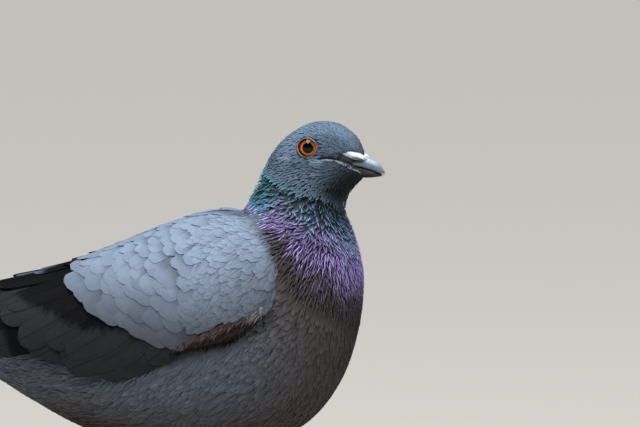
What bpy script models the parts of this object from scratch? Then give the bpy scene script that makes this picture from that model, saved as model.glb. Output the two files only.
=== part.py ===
"""A rock pigeon standing at rest, life size: head, neck, trunk, tail, two folded wings and two legs.

Lengths in the tables are millimetres from the middle of the eyes: x forwards, y to the bird's left, z up.
The finished model stands on z = 0 with its origin under the middle of its own box.
"""

import math

import bmesh
import bpy
from mathutils import Matrix, Vector

# ------------------------------------------------------------------ driving dimensions
MM = 0.001
EYE_HEIGHT = 0.186  # middle of the eyes above the floor
GAP = 0.0003  # between pieces that touch
HEAD_TURN = math.radians(-15)  # the head looks a little to the bird's right
NECK_PIVOT = Vector((-8, 0, 0))  # the upright axis that the head turns about

EYE_RADIUS = 5.5
EYE_CENTRE = (-1.5, 6.3, -0.6)  # left eyeball; x and z are offsets from the tables' origin
FOOT_SIDE = 23.0  # middle of a foot from the midplane
FLOOR = -EYE_HEIGHT / MM

RING_POINTS = 24
WING_RING_POINTS = 14
TAIL_RING_POINTS = 16
BILL_RING_POINTS = 14

# Body sections, tail to face. Each passes through a point of the back line and one of the underside.
BODY = (
    # back x, z,    under x, z,   half width, widest level, fullness
    (-172, -78.0, -178, -97.0, 19.0, 0.00, 2.3),  # end of the tail coverts
    (-150, -68.0, -156, -109.0, 22.5, 0.00, 2.2),
    (-128, -61.0, -134, -122.0, 29.0, 0.00, 2.2),  # vent
    (-105, -53.0, -110, -134.0, 37.0, 0.00, 2.2),
    (-82, -43.4, -84, -141.5, 42.5, 0.00, 2.2),
    (-62, -36.0, -57, -143.5, 45.5, 0.00, 2.2),  # lowest point of the belly
    (-48, -32.4, -30, -140.5, 46.5, 0.00, 2.2),
    (-40.5, -31.6, -6, -130.5, 45.5, 0.00, 2.2),  # shoulders
    (-38, -31.4, 10, -111.0, 42.5, 0.00, 2.2),
    (-36.3, -31.1, 18.5, -86.0, 37.5, 0.00, 2.1),
    (-34.5, -29.8, 20.9, -61.0, 31.0, 0.00, 2.0),  # breast front, neck base
    (-32.2, -25.4, 17.0, -43.0, 25.0, 0.00, 2.0),
    (-29.2, -18.8, 12.7, -31.5, 20.0, 0.00, 2.0),
    (-26.0, -11.5, 14.1, -24.5, 16.3, 0.00, 2.0),
    (-22.0, -4.0, 16.5, -21.0, 13.2, 0.10, 2.1),  # nape and throat
    (-14.5, 4.0, 18.5, -19.0, 11.0, 0.25, 2.3),
    (-3.0, 10.3, 20.0, -17.2, 9.4, 0.30, 2.4),  # crown
    (9.0, 10.6, 21.5, -16.0, 7.0, 0.30, 2.3),
    (18.5, 5.5, 22.8, -15.0, 4.6, 0.20, 2.1),  # forehead
    (22.8, -1.0, 23.8, -14.0, 3.1, 0.00, 2.0),  # bill root
)
NECK_BASE, NAPE = 10.4, 13.7  # places along BODY where the neck starts and ends
TURN_FROM, TURN_TO = 10.0, 14.5  # the turn of the head grows between these

# Surface that the folded wing lies on, tip to shoulder, and what of it the wing covers.
# Angles are degrees round the section from the back line; lift and sink are outside and inside the surface.
WING = (
    # back x, z,    under x, z,   half w, level, fullness, upper, lower, lift, sink
    (-216, -87.0, -219, -104.0, 17.0, 0, 2.1, 40, 74, 0.5, 0.5),  # wing tip
    (-200, -80.0, -204, -106.5, 22.0, 0, 2.1, 24, 84, 0.9, 0.7),
    (-175, -71.0, -180, -106.0, 27.5, 0, 2.1, 14, 96, 1.3, 0.9),
    (-150, -65.0, -156, -112.0, 32.0, 0, 2.1, 10, 103, 1.7, 1.1),
    (-128, -59.0, -134, -122.0, 36.5, 0, 2.1, 10, 106, 2.1, 1.4),
    (-105, -51.2, -110, -134.0, 40.5, 0, 2.2, 11, 106, 2.4, 1.7),
    (-82, -41.8, -84, -141.5, 43.5, 0, 2.2, 12, 99, 2.6, 2.0),
    (-62, -34.2, -57, -143.5, 45.5, 0, 2.2, 13, 93.5, 2.8, 2.2),
    (-48, -31.0, -30, -140.5, 46.5, 0, 2.2, 14, 91.5, 3.0, 2.2),
    (-40.5, -31.1, -6, -130.5, 45.5, 0, 2.2, 16, 89, 3.0, 2.2),
    (-38, -31.2, 10, -111.0, 42.5, 0, 2.2, 19, 86, 2.8, 2.2),
    (-36.3, -31.1, 18.5, -86.0, 37.5, 0, 2.1, 23, 78, 2.4, 2.2),
    (-34.5, -29.8, 20.9, -61.0, 31.0, 0, 2.0, 30, 62, 1.4, 1.6),  # front of the shoulder
)
# The wing is parted by two slanting planes, given by points of the side view: (upper x, z), (lower x, z).
COVERT_EDGE = ((-117, -63), (-72, -95))
SECONDARY_EDGE = ((-165, -72), (-112, -112))

TAIL = (
    # top x, z,     under x, z,   half width, level, fullness
    (-140, -79.0, -140, -86.0, 12.0, 0, 2.6),
    (-160, -84.0, -160, -89.5, 16.0, 0, 2.8),
    (-180, -89.0, -180, -93.2, 19.5, 0, 3.0),
    (-205, -94.5, -205, -97.2, 22.5, 0, 3.2),
    (-223, -98.6, -223, -100.2, 24.0, 0, 3.4),
    (-229, -100.0, -229, -101.2, 21.5, 0, 3.4),
)
TAIL_ARCH = 3.0  # how much lower the tail's edges are than its middle

UPPER_BILL = (
    # culmen x, z,  edge x, z,    half width, level, fullness
    (12.0, -4.5, 11.0, -8.6, 3.4, -0.8, 2.1),
    (18.0, -4.2, 17.5, -8.8, 3.5, -0.8, 2.1),
    (23.5, -4.3, 23.0, -9.6, 3.1, -0.8, 2.1),
    (27.2, -5.2, 26.5, -10.5, 2.7, -0.8, 2.0),
    (30.3, -6.6, 29.3, -11.3, 2.3, -0.8, 2.0),
    (32.4, -8.9, 31.1, -12.1, 1.8, -0.7, 2.0),
    (33.4, -11.3, 32.4, -13.0, 1.1, -0.4, 2.0),
    (33.3, -13.3, 32.8, -13.8, 0.4, 0, 2.0),
)
LOWER_BILL = (
    # edge x, z,    under x, z,   half width, level, fullness
    (11.0, -9.0, 12.0, -12.5, 3.1, 0.8, 2.1),
    (17.5, -9.2, 18.0, -14.0, 3.2, 0.8, 2.1),
    (23.0, -10.0, 23.5, -14.8, 2.8, 0.8, 2.1),
    (26.5, -10.9, 27.5, -14.7, 2.4, 0.8, 2.0),
    (29.3, -11.7, 30.3, -14.2, 1.9, 0.7, 2.0),
    (31.5, -12.6, 32.0, -13.8, 0.9, 0.3, 2.0),
)
CERE = {"centre": (18.6, 2.8, -4.2), "half_size": (6.8, 2.6, 2.2), "nose_down": 13, "splay": -9}

# Right leg's paths; the left is its mirror image. Points are (x, y from the foot's middle, height over the floor).
THIGH = {"path": ((-52, 2, 78), (-60, 1, 60), (-68, 0, 46), (-73, 0, 38.5)), "radii": (15, 13, 8, 4.3)}
SHANK = {"path": ((-73.2, 0, 38.2), (-71.5, 0, 32), (-67, 0, 18), (-62.5, 0, 5)), "radii": (3.2, 2.3, 2.1, 2.9)}
FOOT_PAD = {"centre": (-62, 0, 3.0), "half_size": (5.9, 5.9, 3.5)}
TOES = {
    # direction in degrees, positive away from the body; length; base and end radius
    "inner": (-42, 20, 1.8, 1.5),
    "middle": (2, 27, 1.9, 1.5),
    "outer": (45, 22, 1.8, 1.5),
    "hind": (188, 16, 1.8, 1.4),
}
CLAW_LENGTH, CLAW_RADIUS = 7.0, 1.25
SOLE_SINK = 0.25  # how much of a toe's radius the floor takes off, which leaves a flat

COLOURS = {
    # linear red, green, blue, roughness
    "body_plumage": (0.090, 0.100, 0.120, 0.75),
    "neck_plumage": (0.045, 0.085, 0.110, 0.45),
    "wing_plumage": (0.260, 0.310, 0.390, 0.70),
    "flight_plumage": (0.050, 0.055, 0.065, 0.65),
    "bill": (0.120, 0.130, 0.150, 0.40),
    "cere": (0.700, 0.720, 0.700, 0.60),
    "eye": (0.600, 0.120, 0.020, 0.08),
    "leg": (0.420, 0.090, 0.080, 0.55),
    "claw": (0.030, 0.027, 0.025, 0.35),
}


# ------------------------------------------------------------------ small tools
def blended(rows, place):
    """The row of numbers at a place along a table, on a smooth curve through its rows."""
    last = len(rows) - 1
    place = min(max(place, 0.0), last)
    i = min(int(place), last - 1)
    t = place - i
    before, a, b, after = (rows[min(max(i + k, 0), last)] for k in (-1, 0, 1, 2))
    curve = (
        ((2 * q + (r - p) * t + (2 * p - 5 * q + 4 * r - s) * t * t + (3 * q - p - 3 * r + s) * t**3) / 2)
        for p, q, r, s in zip(before, a, b, after)
    )
    return tuple(curve)


def smooth_step(value, low, high):
    t = min(max((value - low) / (high - low), 0.0), 1.0)
    return t * t * (3 - 2 * t)


def turned(point, share=1.0):
    """A point carried by that share of the head's turn."""
    return NECK_PIVOT + Matrix.Rotation(HEAD_TURN * share, 3, "Z") @ (Vector(point) - NECK_PIVOT)


def section_point(row, angle, outside=0.0):
    """A point of one section: angle 0 is its top, a quarter turn is the bird's left side."""
    top_x, top_z, low_x, low_z, half_width, widest, fullness = row[:7]
    top, low = Vector((top_x, 0, top_z)), Vector((low_x, 0, low_z))
    centre, half_height = (top + low) / 2, (top - low).length / 2
    up = (top - low).normalized()
    power = 2 / fullness
    level = math.copysign(abs(math.cos(angle)) ** power, math.cos(angle))
    height = widest + (1 - widest) * level if level > 0 else widest + (1 + widest) * level
    side = math.copysign(abs(math.sin(angle)) ** power, math.sin(angle))
    out = (up * math.cos(angle) + Vector((0, math.sin(angle), 0))).normalized()
    return centre + up * (half_height * height) + Vector((0, half_width * side, 0)) + out * outside


def section_ring(rows, place, count=RING_POINTS):
    row = blended(rows, place)
    return [section_point(row, 2 * math.pi * i / count) for i in range(count)]


def shifted(ring, away):
    """The ring moved along its own plane's normal."""
    a, b, c = ring[0], ring[len(ring) // 3], ring[2 * len(ring) // 3]
    return [p + (b - a).cross(c - a).normalized() * away for p in ring]


def world(point):
    return Vector((point[0] * MM, point[1] * MM, point[2] * MM + EYE_HEIGHT))


def material(name):
    found = bpy.data.materials.get(name)
    if found:
        return found
    red, green, blue, roughness = COLOURS[name]
    made = bpy.data.materials.new(name)
    made.use_nodes = True
    shader = made.node_tree.nodes["Principled BSDF"]
    shader.inputs["Base Color"].default_value = (red, green, blue, 1)
    shader.inputs["Roughness"].default_value = roughness
    return made


def new_object(name, mesh, finish, home):
    obj = bpy.data.objects.new(name, mesh)
    home.objects.link(obj)
    mesh.materials.clear()
    mesh.materials.append(material(finish))
    mesh.shade_smooth()
    mesh.set_sharp_from_angle(angle=math.radians(50))
    return obj


def closed_mesh(name, rings):
    """A tube of faces through the rings, with a cap at each end."""
    bm = bmesh.new()
    loops = [[bm.verts.new(world(p)) for p in ring] for ring in rings]
    count = len(loops[0])
    for near, far in zip(loops, loops[1:]):
        for i in range(count):
            j = (i + 1) % count
            bm.faces.new((near[i], near[j], far[j], far[i]))
    bm.faces.new(loops[0])
    bm.faces.new(loops[-1])
    bmesh.ops.recalc_face_normals(bm, faces=bm.faces)
    bmesh.ops.triangulate(bm, faces=bm.faces)  # so that a piece and its cutter bend alike
    mesh = bpy.data.meshes.new(name)
    bm.to_mesh(mesh)
    bm.free()
    return mesh


def places(start, end, step):
    count = max(2, round(abs(end - start) / step))
    return [start + (end - start) * i / count for i in range(count + 1)]


def swollen(obj, by, cutters):
    """A hidden copy of a piece, grown by a gap, to cut its neighbours with."""
    copy = obj.copy()
    copy.data = obj.data.copy()
    copy.name = obj.name + "_cutter"
    cutters.objects.link(copy)
    bm = bmesh.new()
    bm.from_mesh(copy.data)
    bm.normal_update()
    for vertex in bm.verts:
        vertex.co += vertex.normal * by * max(1.0, vertex.calc_shell_factor())
    bm.to_mesh(copy.data)
    bm.free()
    copy.hide_render = True
    copy.display_type = "WIRE"
    return copy


def apply_modifiers(obj):
    graph = bpy.context.evaluated_depsgraph_get()
    made = bpy.data.meshes.new_from_object(obj.evaluated_get(graph))
    obj.modifiers.clear()
    obj.data = made


def boolean(obj, other, operation):
    step = obj.modifiers.new(operation.lower(), "BOOLEAN")
    step.operation = operation
    step.solver = "EXACT"
    step.object = other
    apply_modifiers(obj)


def keep_side(obj, point, normal):
    """Cuts a piece by a plane and keeps what lies on the normal's side, closed with a cap."""
    bm = bmesh.new()
    bm.from_mesh(obj.data)
    geometry = bm.verts[:] + bm.edges[:] + bm.faces[:]
    cut = bmesh.ops.bisect_plane(bm, geom=geometry, plane_co=point, plane_no=normal, clear_inner=True)
    edges = [e for e in cut["geom_cut"] if isinstance(e, bmesh.types.BMEdge)]
    bmesh.ops.holes_fill(bm, edges=edges)
    bmesh.ops.triangulate(bm, faces=[f for f in bm.faces if len(f.verts) > 4])
    bm.to_mesh(obj.data)
    bm.free()


def limb_mesh(name, path, radii, resolution=2, step=0.5):
    """A round tapering limb along a smooth path, from a bevelled curve."""
    rows = [(*p, r) for p, r in zip(path, radii)]
    points = [blended(rows, place) for place in places(0, len(rows) - 1, step)]
    curve = bpy.data.curves.new(name, "CURVE")
    curve.dimensions = "3D"
    curve.bevel_depth = MM
    curve.bevel_resolution = resolution
    curve.use_fill_caps = True
    spline = curve.splines.new("POLY")
    spline.points.add(len(points) - 1)
    for target, (x, y, z, radius) in zip(spline.points, points):
        target.co = (*world((x, y, z)), 1)
        target.radius = radius
    guide = bpy.data.objects.new(name, curve)
    bpy.context.scene.collection.objects.link(guide)
    graph = bpy.context.evaluated_depsgraph_get()
    mesh = bpy.data.meshes.new_from_object(guide.evaluated_get(graph))
    bpy.data.objects.remove(guide)
    bm = bmesh.new()
    bm.from_mesh(mesh)
    bmesh.ops.remove_doubles(bm, verts=bm.verts, dist=0.00001)
    bmesh.ops.recalc_face_normals(bm, faces=bm.faces)
    bm.to_mesh(mesh)
    bm.free()
    return mesh


def ball_mesh(name, centre, half_size, turn=None, segments=20, rings=12):
    bm = bmesh.new()
    bmesh.ops.create_uvsphere(bm, u_segments=segments, v_segments=rings, radius=1.0)
    place = Matrix.Translation(world(centre)) @ (turn or Matrix.Identity(4))
    bmesh.ops.transform(bm, matrix=place @ Matrix.Diagonal((*(h * MM for h in half_size), 1)), verts=bm.verts)
    mesh = bpy.data.meshes.new(name)
    bm.to_mesh(mesh)
    bm.free()
    return mesh


# ------------------------------------------------------------------ body
def body_rings(start, end, step):
    """Body rings from start to end. Both ends stand back by half a gap, so that neighbours don't touch."""
    stops = places(start, end, step)
    rings = []
    for place in stops:
        share = smooth_step(place, TURN_FROM, TURN_TO)
        rings.append([turned(p, share) for p in section_ring(BODY, place)])
    towards = 1 if (rings[1][0] - rings[0][0]).dot(shifted(rings[0], 1)[0] - rings[0][0]) > 0 else -1
    rings[0] = shifted(rings[0], towards * GAP / 2 / MM)
    rings[-1] = shifted(rings[-1], -towards * GAP / 2 / MM)
    return rings


def make_body(home):
    parts = {
        "trunk": new_object("trunk", closed_mesh("trunk", body_rings(0, NECK_BASE, 0.55)), "body_plumage", home),
        "neck": new_object("neck", closed_mesh("neck", body_rings(NECK_BASE, NAPE, 0.42)), "neck_plumage", home),
        "head": new_object("head", closed_mesh("head", body_rings(NAPE, len(BODY) - 1, 0.41)), "body_plumage", home),
    }
    return parts


def make_tail(home):
    rings = []
    for place in places(0, len(TAIL) - 1, 0.5):
        half_width = blended(TAIL, place)[4]
        ring = section_ring(TAIL, place, TAIL_RING_POINTS)
        rings.append([p - Vector((0, 0, TAIL_ARCH * (p.y / half_width) ** 2)) for p in ring])
    return new_object("tail", closed_mesh("tail", rings), "flight_plumage", home)


# ------------------------------------------------------------------ wings
def wing_ring(place, side):
    """A flat rounded loop of the wing's plate, bent round the body."""
    row = blended(WING, place)
    upper, lower, lift, sink = math.radians(row[7]), math.radians(row[8]), row[9], row[10]
    loop = []
    for i in range(WING_RING_POINTS):
        turn = 2 * math.pi * i / WING_RING_POINTS
        across = (1 - math.cos(turn)) / 2
        depth = math.copysign(abs(math.sin(turn)) ** 0.55, math.sin(turn))
        outside = depth * (lift if depth > 0 else sink)
        loop.append(section_point(row, side * (upper + (lower - upper) * across), outside))
    return loop


def slanting_plane(edge):
    """A point and a forward-facing normal of the plane through an edge of the side view."""
    (x1, z1), (x2, z2) = edge
    return world((x1, 0, z1)), Vector((z1 - z2, 0, x2 - x1)).normalized()


def make_wing(name, side, home):
    """The folded wing: the coverts over arm and hand, the secondaries behind them, the primaries last."""
    mesh = closed_mesh(name, [wing_ring(place, side) for place in places(0, len(WING) - 1, 0.5)])
    cuts = [slanting_plane(COVERT_EDGE), slanting_plane(SECONDARY_EDGE)]
    pieces = {}
    for part, front, back in (("coverts", None, cuts[0]), ("secondaries", cuts[0], cuts[1]), ("primaries", cuts[1], None)):
        finish = "wing_plumage" if part == "coverts" else "flight_plumage"
        piece = new_object(f"{name}_{part}", mesh.copy(), finish, home)
        if back:
            keep_side(piece, back[0] + back[1] * GAP / 2, back[1])
        if front:
            keep_side(piece, front[0] - front[1] * GAP / 2, -front[1])
        pieces[part] = piece
    whole = new_object(f"{name}_whole", mesh, "wing_plumage", home)
    return pieces, whole


# ------------------------------------------------------------------ head pieces
def on_head(mesh):
    """Carries a mesh made in the straight-ahead position round with the head."""
    pivot = Matrix.Translation(world(NECK_PIVOT))
    mesh.transform(pivot @ Matrix.Rotation(HEAD_TURN, 4, "Z") @ pivot.inverted())
    return mesh


def make_bill(home):
    upper_rings = [section_ring(UPPER_BILL, place, BILL_RING_POINTS) for place in places(0, len(UPPER_BILL) - 1, 0.75)]
    lower_rings = [section_ring(LOWER_BILL, place, BILL_RING_POINTS) for place in places(0, len(LOWER_BILL) - 1, 0.75)]
    upper = new_object("bill_upper", on_head(closed_mesh("bill_upper", upper_rings)), "bill", home)
    lower = new_object("bill_lower", on_head(closed_mesh("bill_lower", lower_rings)), "bill", home)
    return upper, lower


def make_cere(side, home):
    """One of the two soft swellings over the nostrils."""
    name = "cere_left" if side > 0 else "cere_right"
    x, y, z = CERE["centre"]
    turn = Matrix.Rotation(math.radians(CERE["splay"]) * side, 4, "Z")
    turn = turn @ Matrix.Rotation(math.radians(CERE["nose_down"]), 4, "Y")
    mesh = ball_mesh(name, (x, side * y, z), CERE["half_size"], turn, 14, 8)
    return new_object(name, on_head(mesh), "cere", home)


def make_eye(side, home):
    name = "eye_left" if side > 0 else "eye_right"
    x, y, z = EYE_CENTRE
    mesh = ball_mesh(name, (x, side * y, z), (EYE_RADIUS,) * 3, Matrix.Rotation(math.radians(90), 4, "X"), 14, 8)
    return new_object(name, on_head(mesh), "eye", home)


# ------------------------------------------------------------------ legs
def leg_point(point, side):
    x, y, height = point
    return (x, side * (FOOT_SIDE + y), FLOOR + height)


def make_toe(leg, name, side, home):
    """A toe with a flat sole, and the claw beyond it."""
    degrees, length, base, end = TOES[name]
    heading = math.radians(degrees)
    along = Vector((math.cos(heading), side * math.sin(heading), 0))
    hub = Vector(leg_point(FOOT_PAD["centre"], side))
    hub.z = FLOOR
    stops = (0, 0.3, 0.65, 1)
    radii = [base, base * 0.95, (base + end) / 2, end]
    path = [hub + along * length * s + Vector((0, 0, r * (1 - SOLE_SINK))) for s, r in zip(stops, radii)]
    toe = new_object(f"{leg}_toe_{name}", limb_mesh(name, path, radii, step=1), "leg", home)
    keep_side(toe, Vector((0, 0, 0)), Vector((0, 0, 1)))
    tip = path[-1]
    start = tip + along * GAP / MM
    arc = [
        start + along * CLAW_LENGTH * s + Vector((0, 0, rise))
        for s, rise in ((0, 0.1), (0.35, 0.5), (0.7, -0.1), (1.0, -0.85 * end * (1 - SOLE_SINK) + 0.35))
    ]
    claw = limb_mesh(f"{name}_claw", arc, [CLAW_RADIUS, CLAW_RADIUS * 0.85, CLAW_RADIUS * 0.55, 0.25], 1)
    return toe, new_object(f"{leg}_claw_{name}", claw, "claw", home)


def make_leg(side, home, cutters):
    leg = "left" if side > 0 else "right"
    thigh_path = [leg_point(p, side) for p in THIGH["path"]]
    shank_path = [leg_point(p, side) for p in SHANK["path"]]
    thigh = new_object(f"{leg}_thigh", limb_mesh("thigh", thigh_path, THIGH["radii"], 4), "body_plumage", home)
    shank = new_object(f"{leg}_shank", limb_mesh("shank", shank_path, SHANK["radii"]), "leg", home)
    pad_mesh = ball_mesh("pad", leg_point(FOOT_PAD["centre"], side), FOOT_PAD["half_size"], None, 14, 6)
    pad = new_object(f"{leg}_pad", pad_mesh, "leg", cutters)
    boolean(shank, pad, "UNION")
    bpy.data.objects.remove(pad)
    keep_side(shank, Vector((0, 0, 0)), Vector((0, 0, 1)))
    grown = swollen(shank, GAP, cutters)
    boolean(thigh, grown, "DIFFERENCE")
    for name in TOES:
        toe, _ = make_toe(leg, name, side, home)
        boolean(toe, grown, "DIFFERENCE")
    return thigh


# ------------------------------------------------------------------ whole bird
def centre_on_floor(objects):
    """Moves the bird so that the origin lies on the floor under the middle of its box."""
    corners = [v.co for obj in objects for v in obj.data.vertices]
    middle = [(min(c[i] for c in corners) + max(c[i] for c in corners)) / 2 for i in (0, 1)]
    for obj in objects:
        obj.data.transform(Matrix.Translation((-middle[0], -middle[1], 0)))


def main():
    for obj in list(bpy.data.objects):
        bpy.data.objects.remove(obj)
    home = bpy.data.collections.new("rock_pigeon")
    cutters = bpy.data.collections.new("cutters")
    for collection in (home, cutters):
        bpy.context.scene.collection.children.link(collection)

    body = make_body(home)
    tail = make_tail(home)
    upper_bill, lower_bill = make_bill(home)
    grown_tail = swollen(tail, GAP, cutters)
    boolean(body["trunk"], grown_tail, "DIFFERENCE")

    grown_upper = swollen(upper_bill, GAP, cutters)
    grown_lower = swollen(lower_bill, GAP, cutters)
    for cutter in (grown_upper, grown_lower):
        boolean(body["head"], cutter, "DIFFERENCE")

    grown_trunk = swollen(body["trunk"], GAP, cutters)
    for side in (-1, 1):
        cere = make_cere(side, home)
        boolean(cere, grown_upper, "DIFFERENCE")
        boolean(body["head"], swollen(cere, GAP, cutters), "DIFFERENCE")
        boolean(body["head"], swollen(make_eye(side, home), GAP, cutters), "DIFFERENCE")
        thigh = make_leg(side, home, cutters)
        boolean(thigh, grown_trunk, "DIFFERENCE")
        pieces, whole = make_wing("wing_left" if side > 0 else "wing_right", side, home)
        boolean(body["trunk"], swollen(whole, GAP, cutters), "DIFFERENCE")
        bpy.data.objects.remove(whole)

    for cutter in list(cutters.objects):
        bpy.data.objects.remove(cutter)
    centre_on_floor(list(home.objects))


main()
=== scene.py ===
import math

import bpy
import numpy as np
from mathutils import Matrix, Vector
from mathutils.kdtree import KDTree


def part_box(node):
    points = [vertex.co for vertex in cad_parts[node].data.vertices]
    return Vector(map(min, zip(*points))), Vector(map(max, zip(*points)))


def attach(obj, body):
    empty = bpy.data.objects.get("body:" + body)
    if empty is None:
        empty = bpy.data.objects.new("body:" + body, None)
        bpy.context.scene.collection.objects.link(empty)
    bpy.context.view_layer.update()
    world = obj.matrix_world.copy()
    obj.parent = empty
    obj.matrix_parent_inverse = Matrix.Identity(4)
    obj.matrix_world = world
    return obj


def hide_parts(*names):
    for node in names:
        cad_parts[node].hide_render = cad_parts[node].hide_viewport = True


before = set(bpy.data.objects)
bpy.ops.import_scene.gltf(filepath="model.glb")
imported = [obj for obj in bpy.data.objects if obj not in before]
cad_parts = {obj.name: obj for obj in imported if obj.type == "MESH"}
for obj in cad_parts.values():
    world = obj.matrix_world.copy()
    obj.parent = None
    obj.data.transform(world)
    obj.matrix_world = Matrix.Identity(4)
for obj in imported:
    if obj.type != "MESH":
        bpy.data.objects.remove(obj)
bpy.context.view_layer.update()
mm = 0.001
chance = np.random.default_rng(11)  # every random draw comes from here, in order

# The bird's sections, tail to bill, in millimetres from the middle of the eyes: x forwards, z up.
body = {
    "turn": math.radians(-15),  # the head looks to the bird's right
    "pivot": -8,
    "wingShadow": 0.58,  # how much darker the plumage is along the wing's lower edge
    "turnFrom": 10,
    "turnTo": 14.5,
    "sections": (
        # back x, z, under x, z, half width, widest level, fullness
        (-172, -78, -178, -97, 19, 0, 2.3),
        (-150, -68, -156, -109, 22.5, 0, 2.2),
        (-128, -61, -134, -122, 29, 0, 2.2),
        (-105, -53, -110, -134, 37, 0, 2.2),
        (-82, -43.4, -84, -141.5, 42.5, 0, 2.2),
        (-62, -36, -57, -143.5, 45.5, 0, 2.2),
        (-48, -32.4, -30, -140.5, 46.5, 0, 2.2),
        (-40.5, -31.6, -6, -130.5, 45.5, 0, 2.2),
        (-38, -31.4, 10, -111, 42.5, 0, 2.2),
        (-36.3, -31.1, 18.5, -86, 37.5, 0, 2.1),
        (-34.5, -29.8, 20.9, -61, 31, 0, 2),
        (-32.2, -25.4, 17, -43, 25, 0, 2),
        (-29.2, -18.8, 12.7, -31.5, 20, 0, 2),
        (-26, -11.5, 14.1, -24.5, 16.3, 0, 2),
        (-22, -4, 16.5, -21, 13.2, 0.1, 2.1),
        (-14.5, 4, 18.5, -19, 11, 0.25, 2.3),
        (-3, 10.3, 20, -17.2, 9.4, 0.3, 2.4),
        (9, 10.6, 21.5, -16, 7, 0.3, 2.3),
        (18.5, 5.5, 22.8, -15, 4.6, 0.2, 2.1),
        (22.8, -1, 23.8, -14, 3.1, 0, 2),
    ),
    "tailEnd": (-203, -91.5, -206, -97.5, 13, 0, 2.2),  # the coat runs on this far over the tail's root
}
# The surface that a folded wing lies on, tip to shoulder; its edges are angles round the section.
wing = {
    "span": (-12, 128),  # degrees round the section
    "bodyShift": 2,  # a wing section stands this many places further on than the same body section
    "sections": (
        # back x, z, under x, z, half width, level, fullness, upper, lower, lift
        (-216, -87, -219, -104, 17, 0, 2.1, 40, 74, 0.5),
        (-200, -80, -204, -106.5, 22, 0, 2.1, 24, 84, 0.9),
        (-175, -71, -180, -106, 27.5, 0, 2.1, 14, 96, 1.3),
        (-150, -65, -156, -112, 32, 0, 2.1, 10, 103, 1.7),
        (-128, -59, -134, -122, 36.5, 0, 2.1, 10, 106, 2.1),
        (-105, -51.2, -110, -134, 40.5, 0, 2.2, 11, 106, 2.4),
        (-82, -41.8, -84, -141.5, 43.5, 0, 2.2, 12, 99, 2.6),
        (-62, -34.2, -57, -143.5, 45.5, 0, 2.2, 13, 93.5, 2.8),
        (-48, -31, -30, -140.5, 46.5, 0, 2.2, 14, 91.5, 3),
        (-40.5, -31.1, -6, -130.5, 45.5, 0, 2.2, 16, 89, 3),
        (-38, -31.2, 10, -111, 42.5, 0, 2.2, 19, 86, 2.8),
        (-36.3, -31.1, 18.5, -86, 37.5, 0, 2.1, 23, 78, 2.4),
        (-34.5, -29.8, 20.9, -61, 31, 0, 2, 30, 62, 1.4),
        (-32.2, -25.4, 17, -43, 25, 0, 2, 38, 54, 0.6),
    ),
    # the feathers' lower edge: places along the sections, degrees round them
    "hem": ((0, 1, 2, 3, 4.3, 4.9, 5.35, 5.95, 6.5, 7, 7.7, 8.7, 9.7, 10, 11, 12, 13),
            (74, 84, 95, 98, 96, 98, 102, 98, 95.4, 93.5, 91.6, 89.6, 90, 86, 78, 62, 54)),
}
# Which way the feathers lie: at side view points x, z, how many degrees below straight back they point.
bodyLie = (
    (22, -3, -60), (14, 8, -35), (2, 10.5, -4), (-12, 6, 35), (-22, -4, 58), (-28, -18, 60),
    (12, -7, 3), (0, -6, 12), (-12, -8, 32), (-5, -16, 42), (15, -20, 42), (6, -22, 48),
    (13, -31, 84), (17, -43, 97), (-4, -30, 52), (-22, -26, 42), (4, -40, 62), (-38, -31, 18),
    (-18, -38, 44), (-5, -50, 56), (20, -62, 92), (19, -84, 84), (10, -110, 66), (-6, -130, 36),
    (2, -75, 60), (-15, -70, 46), (-25, -90, 48), (-30, -120, 34), (-57, -108, 44), (-60, -140, 4), (-45, -95, 48),
    (-72, -102, 46), (-88, -112, 38), (-85, -138, 0), (-115, -110, 8), (-115, -132, -16), (-150, -108, -20),
    (-60, -37, 18), (-100, -52, 18), (-130, -62, 19), (-172, -80, 17), (-160, -95, 5),
)
wingLie = (
    (-34, -38, 24), (-46, -38, 24), (-30, -50, 42), (-24, -62, 50), (-43, -58, 58), (-56, -70, 64),
    (-70, -76, 54), (-84, -71, 45), (-100, -69, 38), (-110, -76, 33), (-122, -86, 29), (-95, -98, 27),
    (-62, -86, 44), (-45, -82, 34), (-26, -74, 36), (-60, -40, 24), (-78, -48, 30), (-92, -54, 28),
    (-112, -62, 26), (-125, -68, 22), (-140, -80, 21), (-160, -90, 19), (-185, -90, 15), (-214, -95, 14),
)
eye = {
    "centre": (-1.5, 6.3, -0.6),
    "radius": 5.5,
    "forward": 8,  # degrees
    "bare": 4.95,
    "lidSteps": 120,
    "lidProfile": (  # share of the way out, height, share of the head's height there
        (0, -1.6, 0), (0, 0.12, 0), (0.12, 0.26, 0.02), (0.38, 0.36, 0.1), (0.65, 0.26, 0.6), (0.85, 0.1, 0.9),
        (1, -0.25, 1), (1.12, -1.9, 1)),
    "iris": 4.6,
    "bulge": 0.3,  # of the cornea
    "mapSize": 12,  # millimetres across the iris map
    "pupil": (0.435, 0.49, 0),  # on the map
    "lit": (0.3, -0.95, 0),  # the way to the iris's lit side; away from it the iris is painted darker, as painted shade from the lid above
    "rings": ((0, (1, 1, 1)), (0.515, (2, 2, 2)), (0.55, (110, 54, 16)), (0.6, (226, 146, 62)),
              (0.68, (222, 118, 44)), (0.76, (176, 70, 32)), (0.84, (92, 32, 20)), (0.92, (44, 18, 16)),
              (1, (16, 9, 9))),
}
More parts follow.
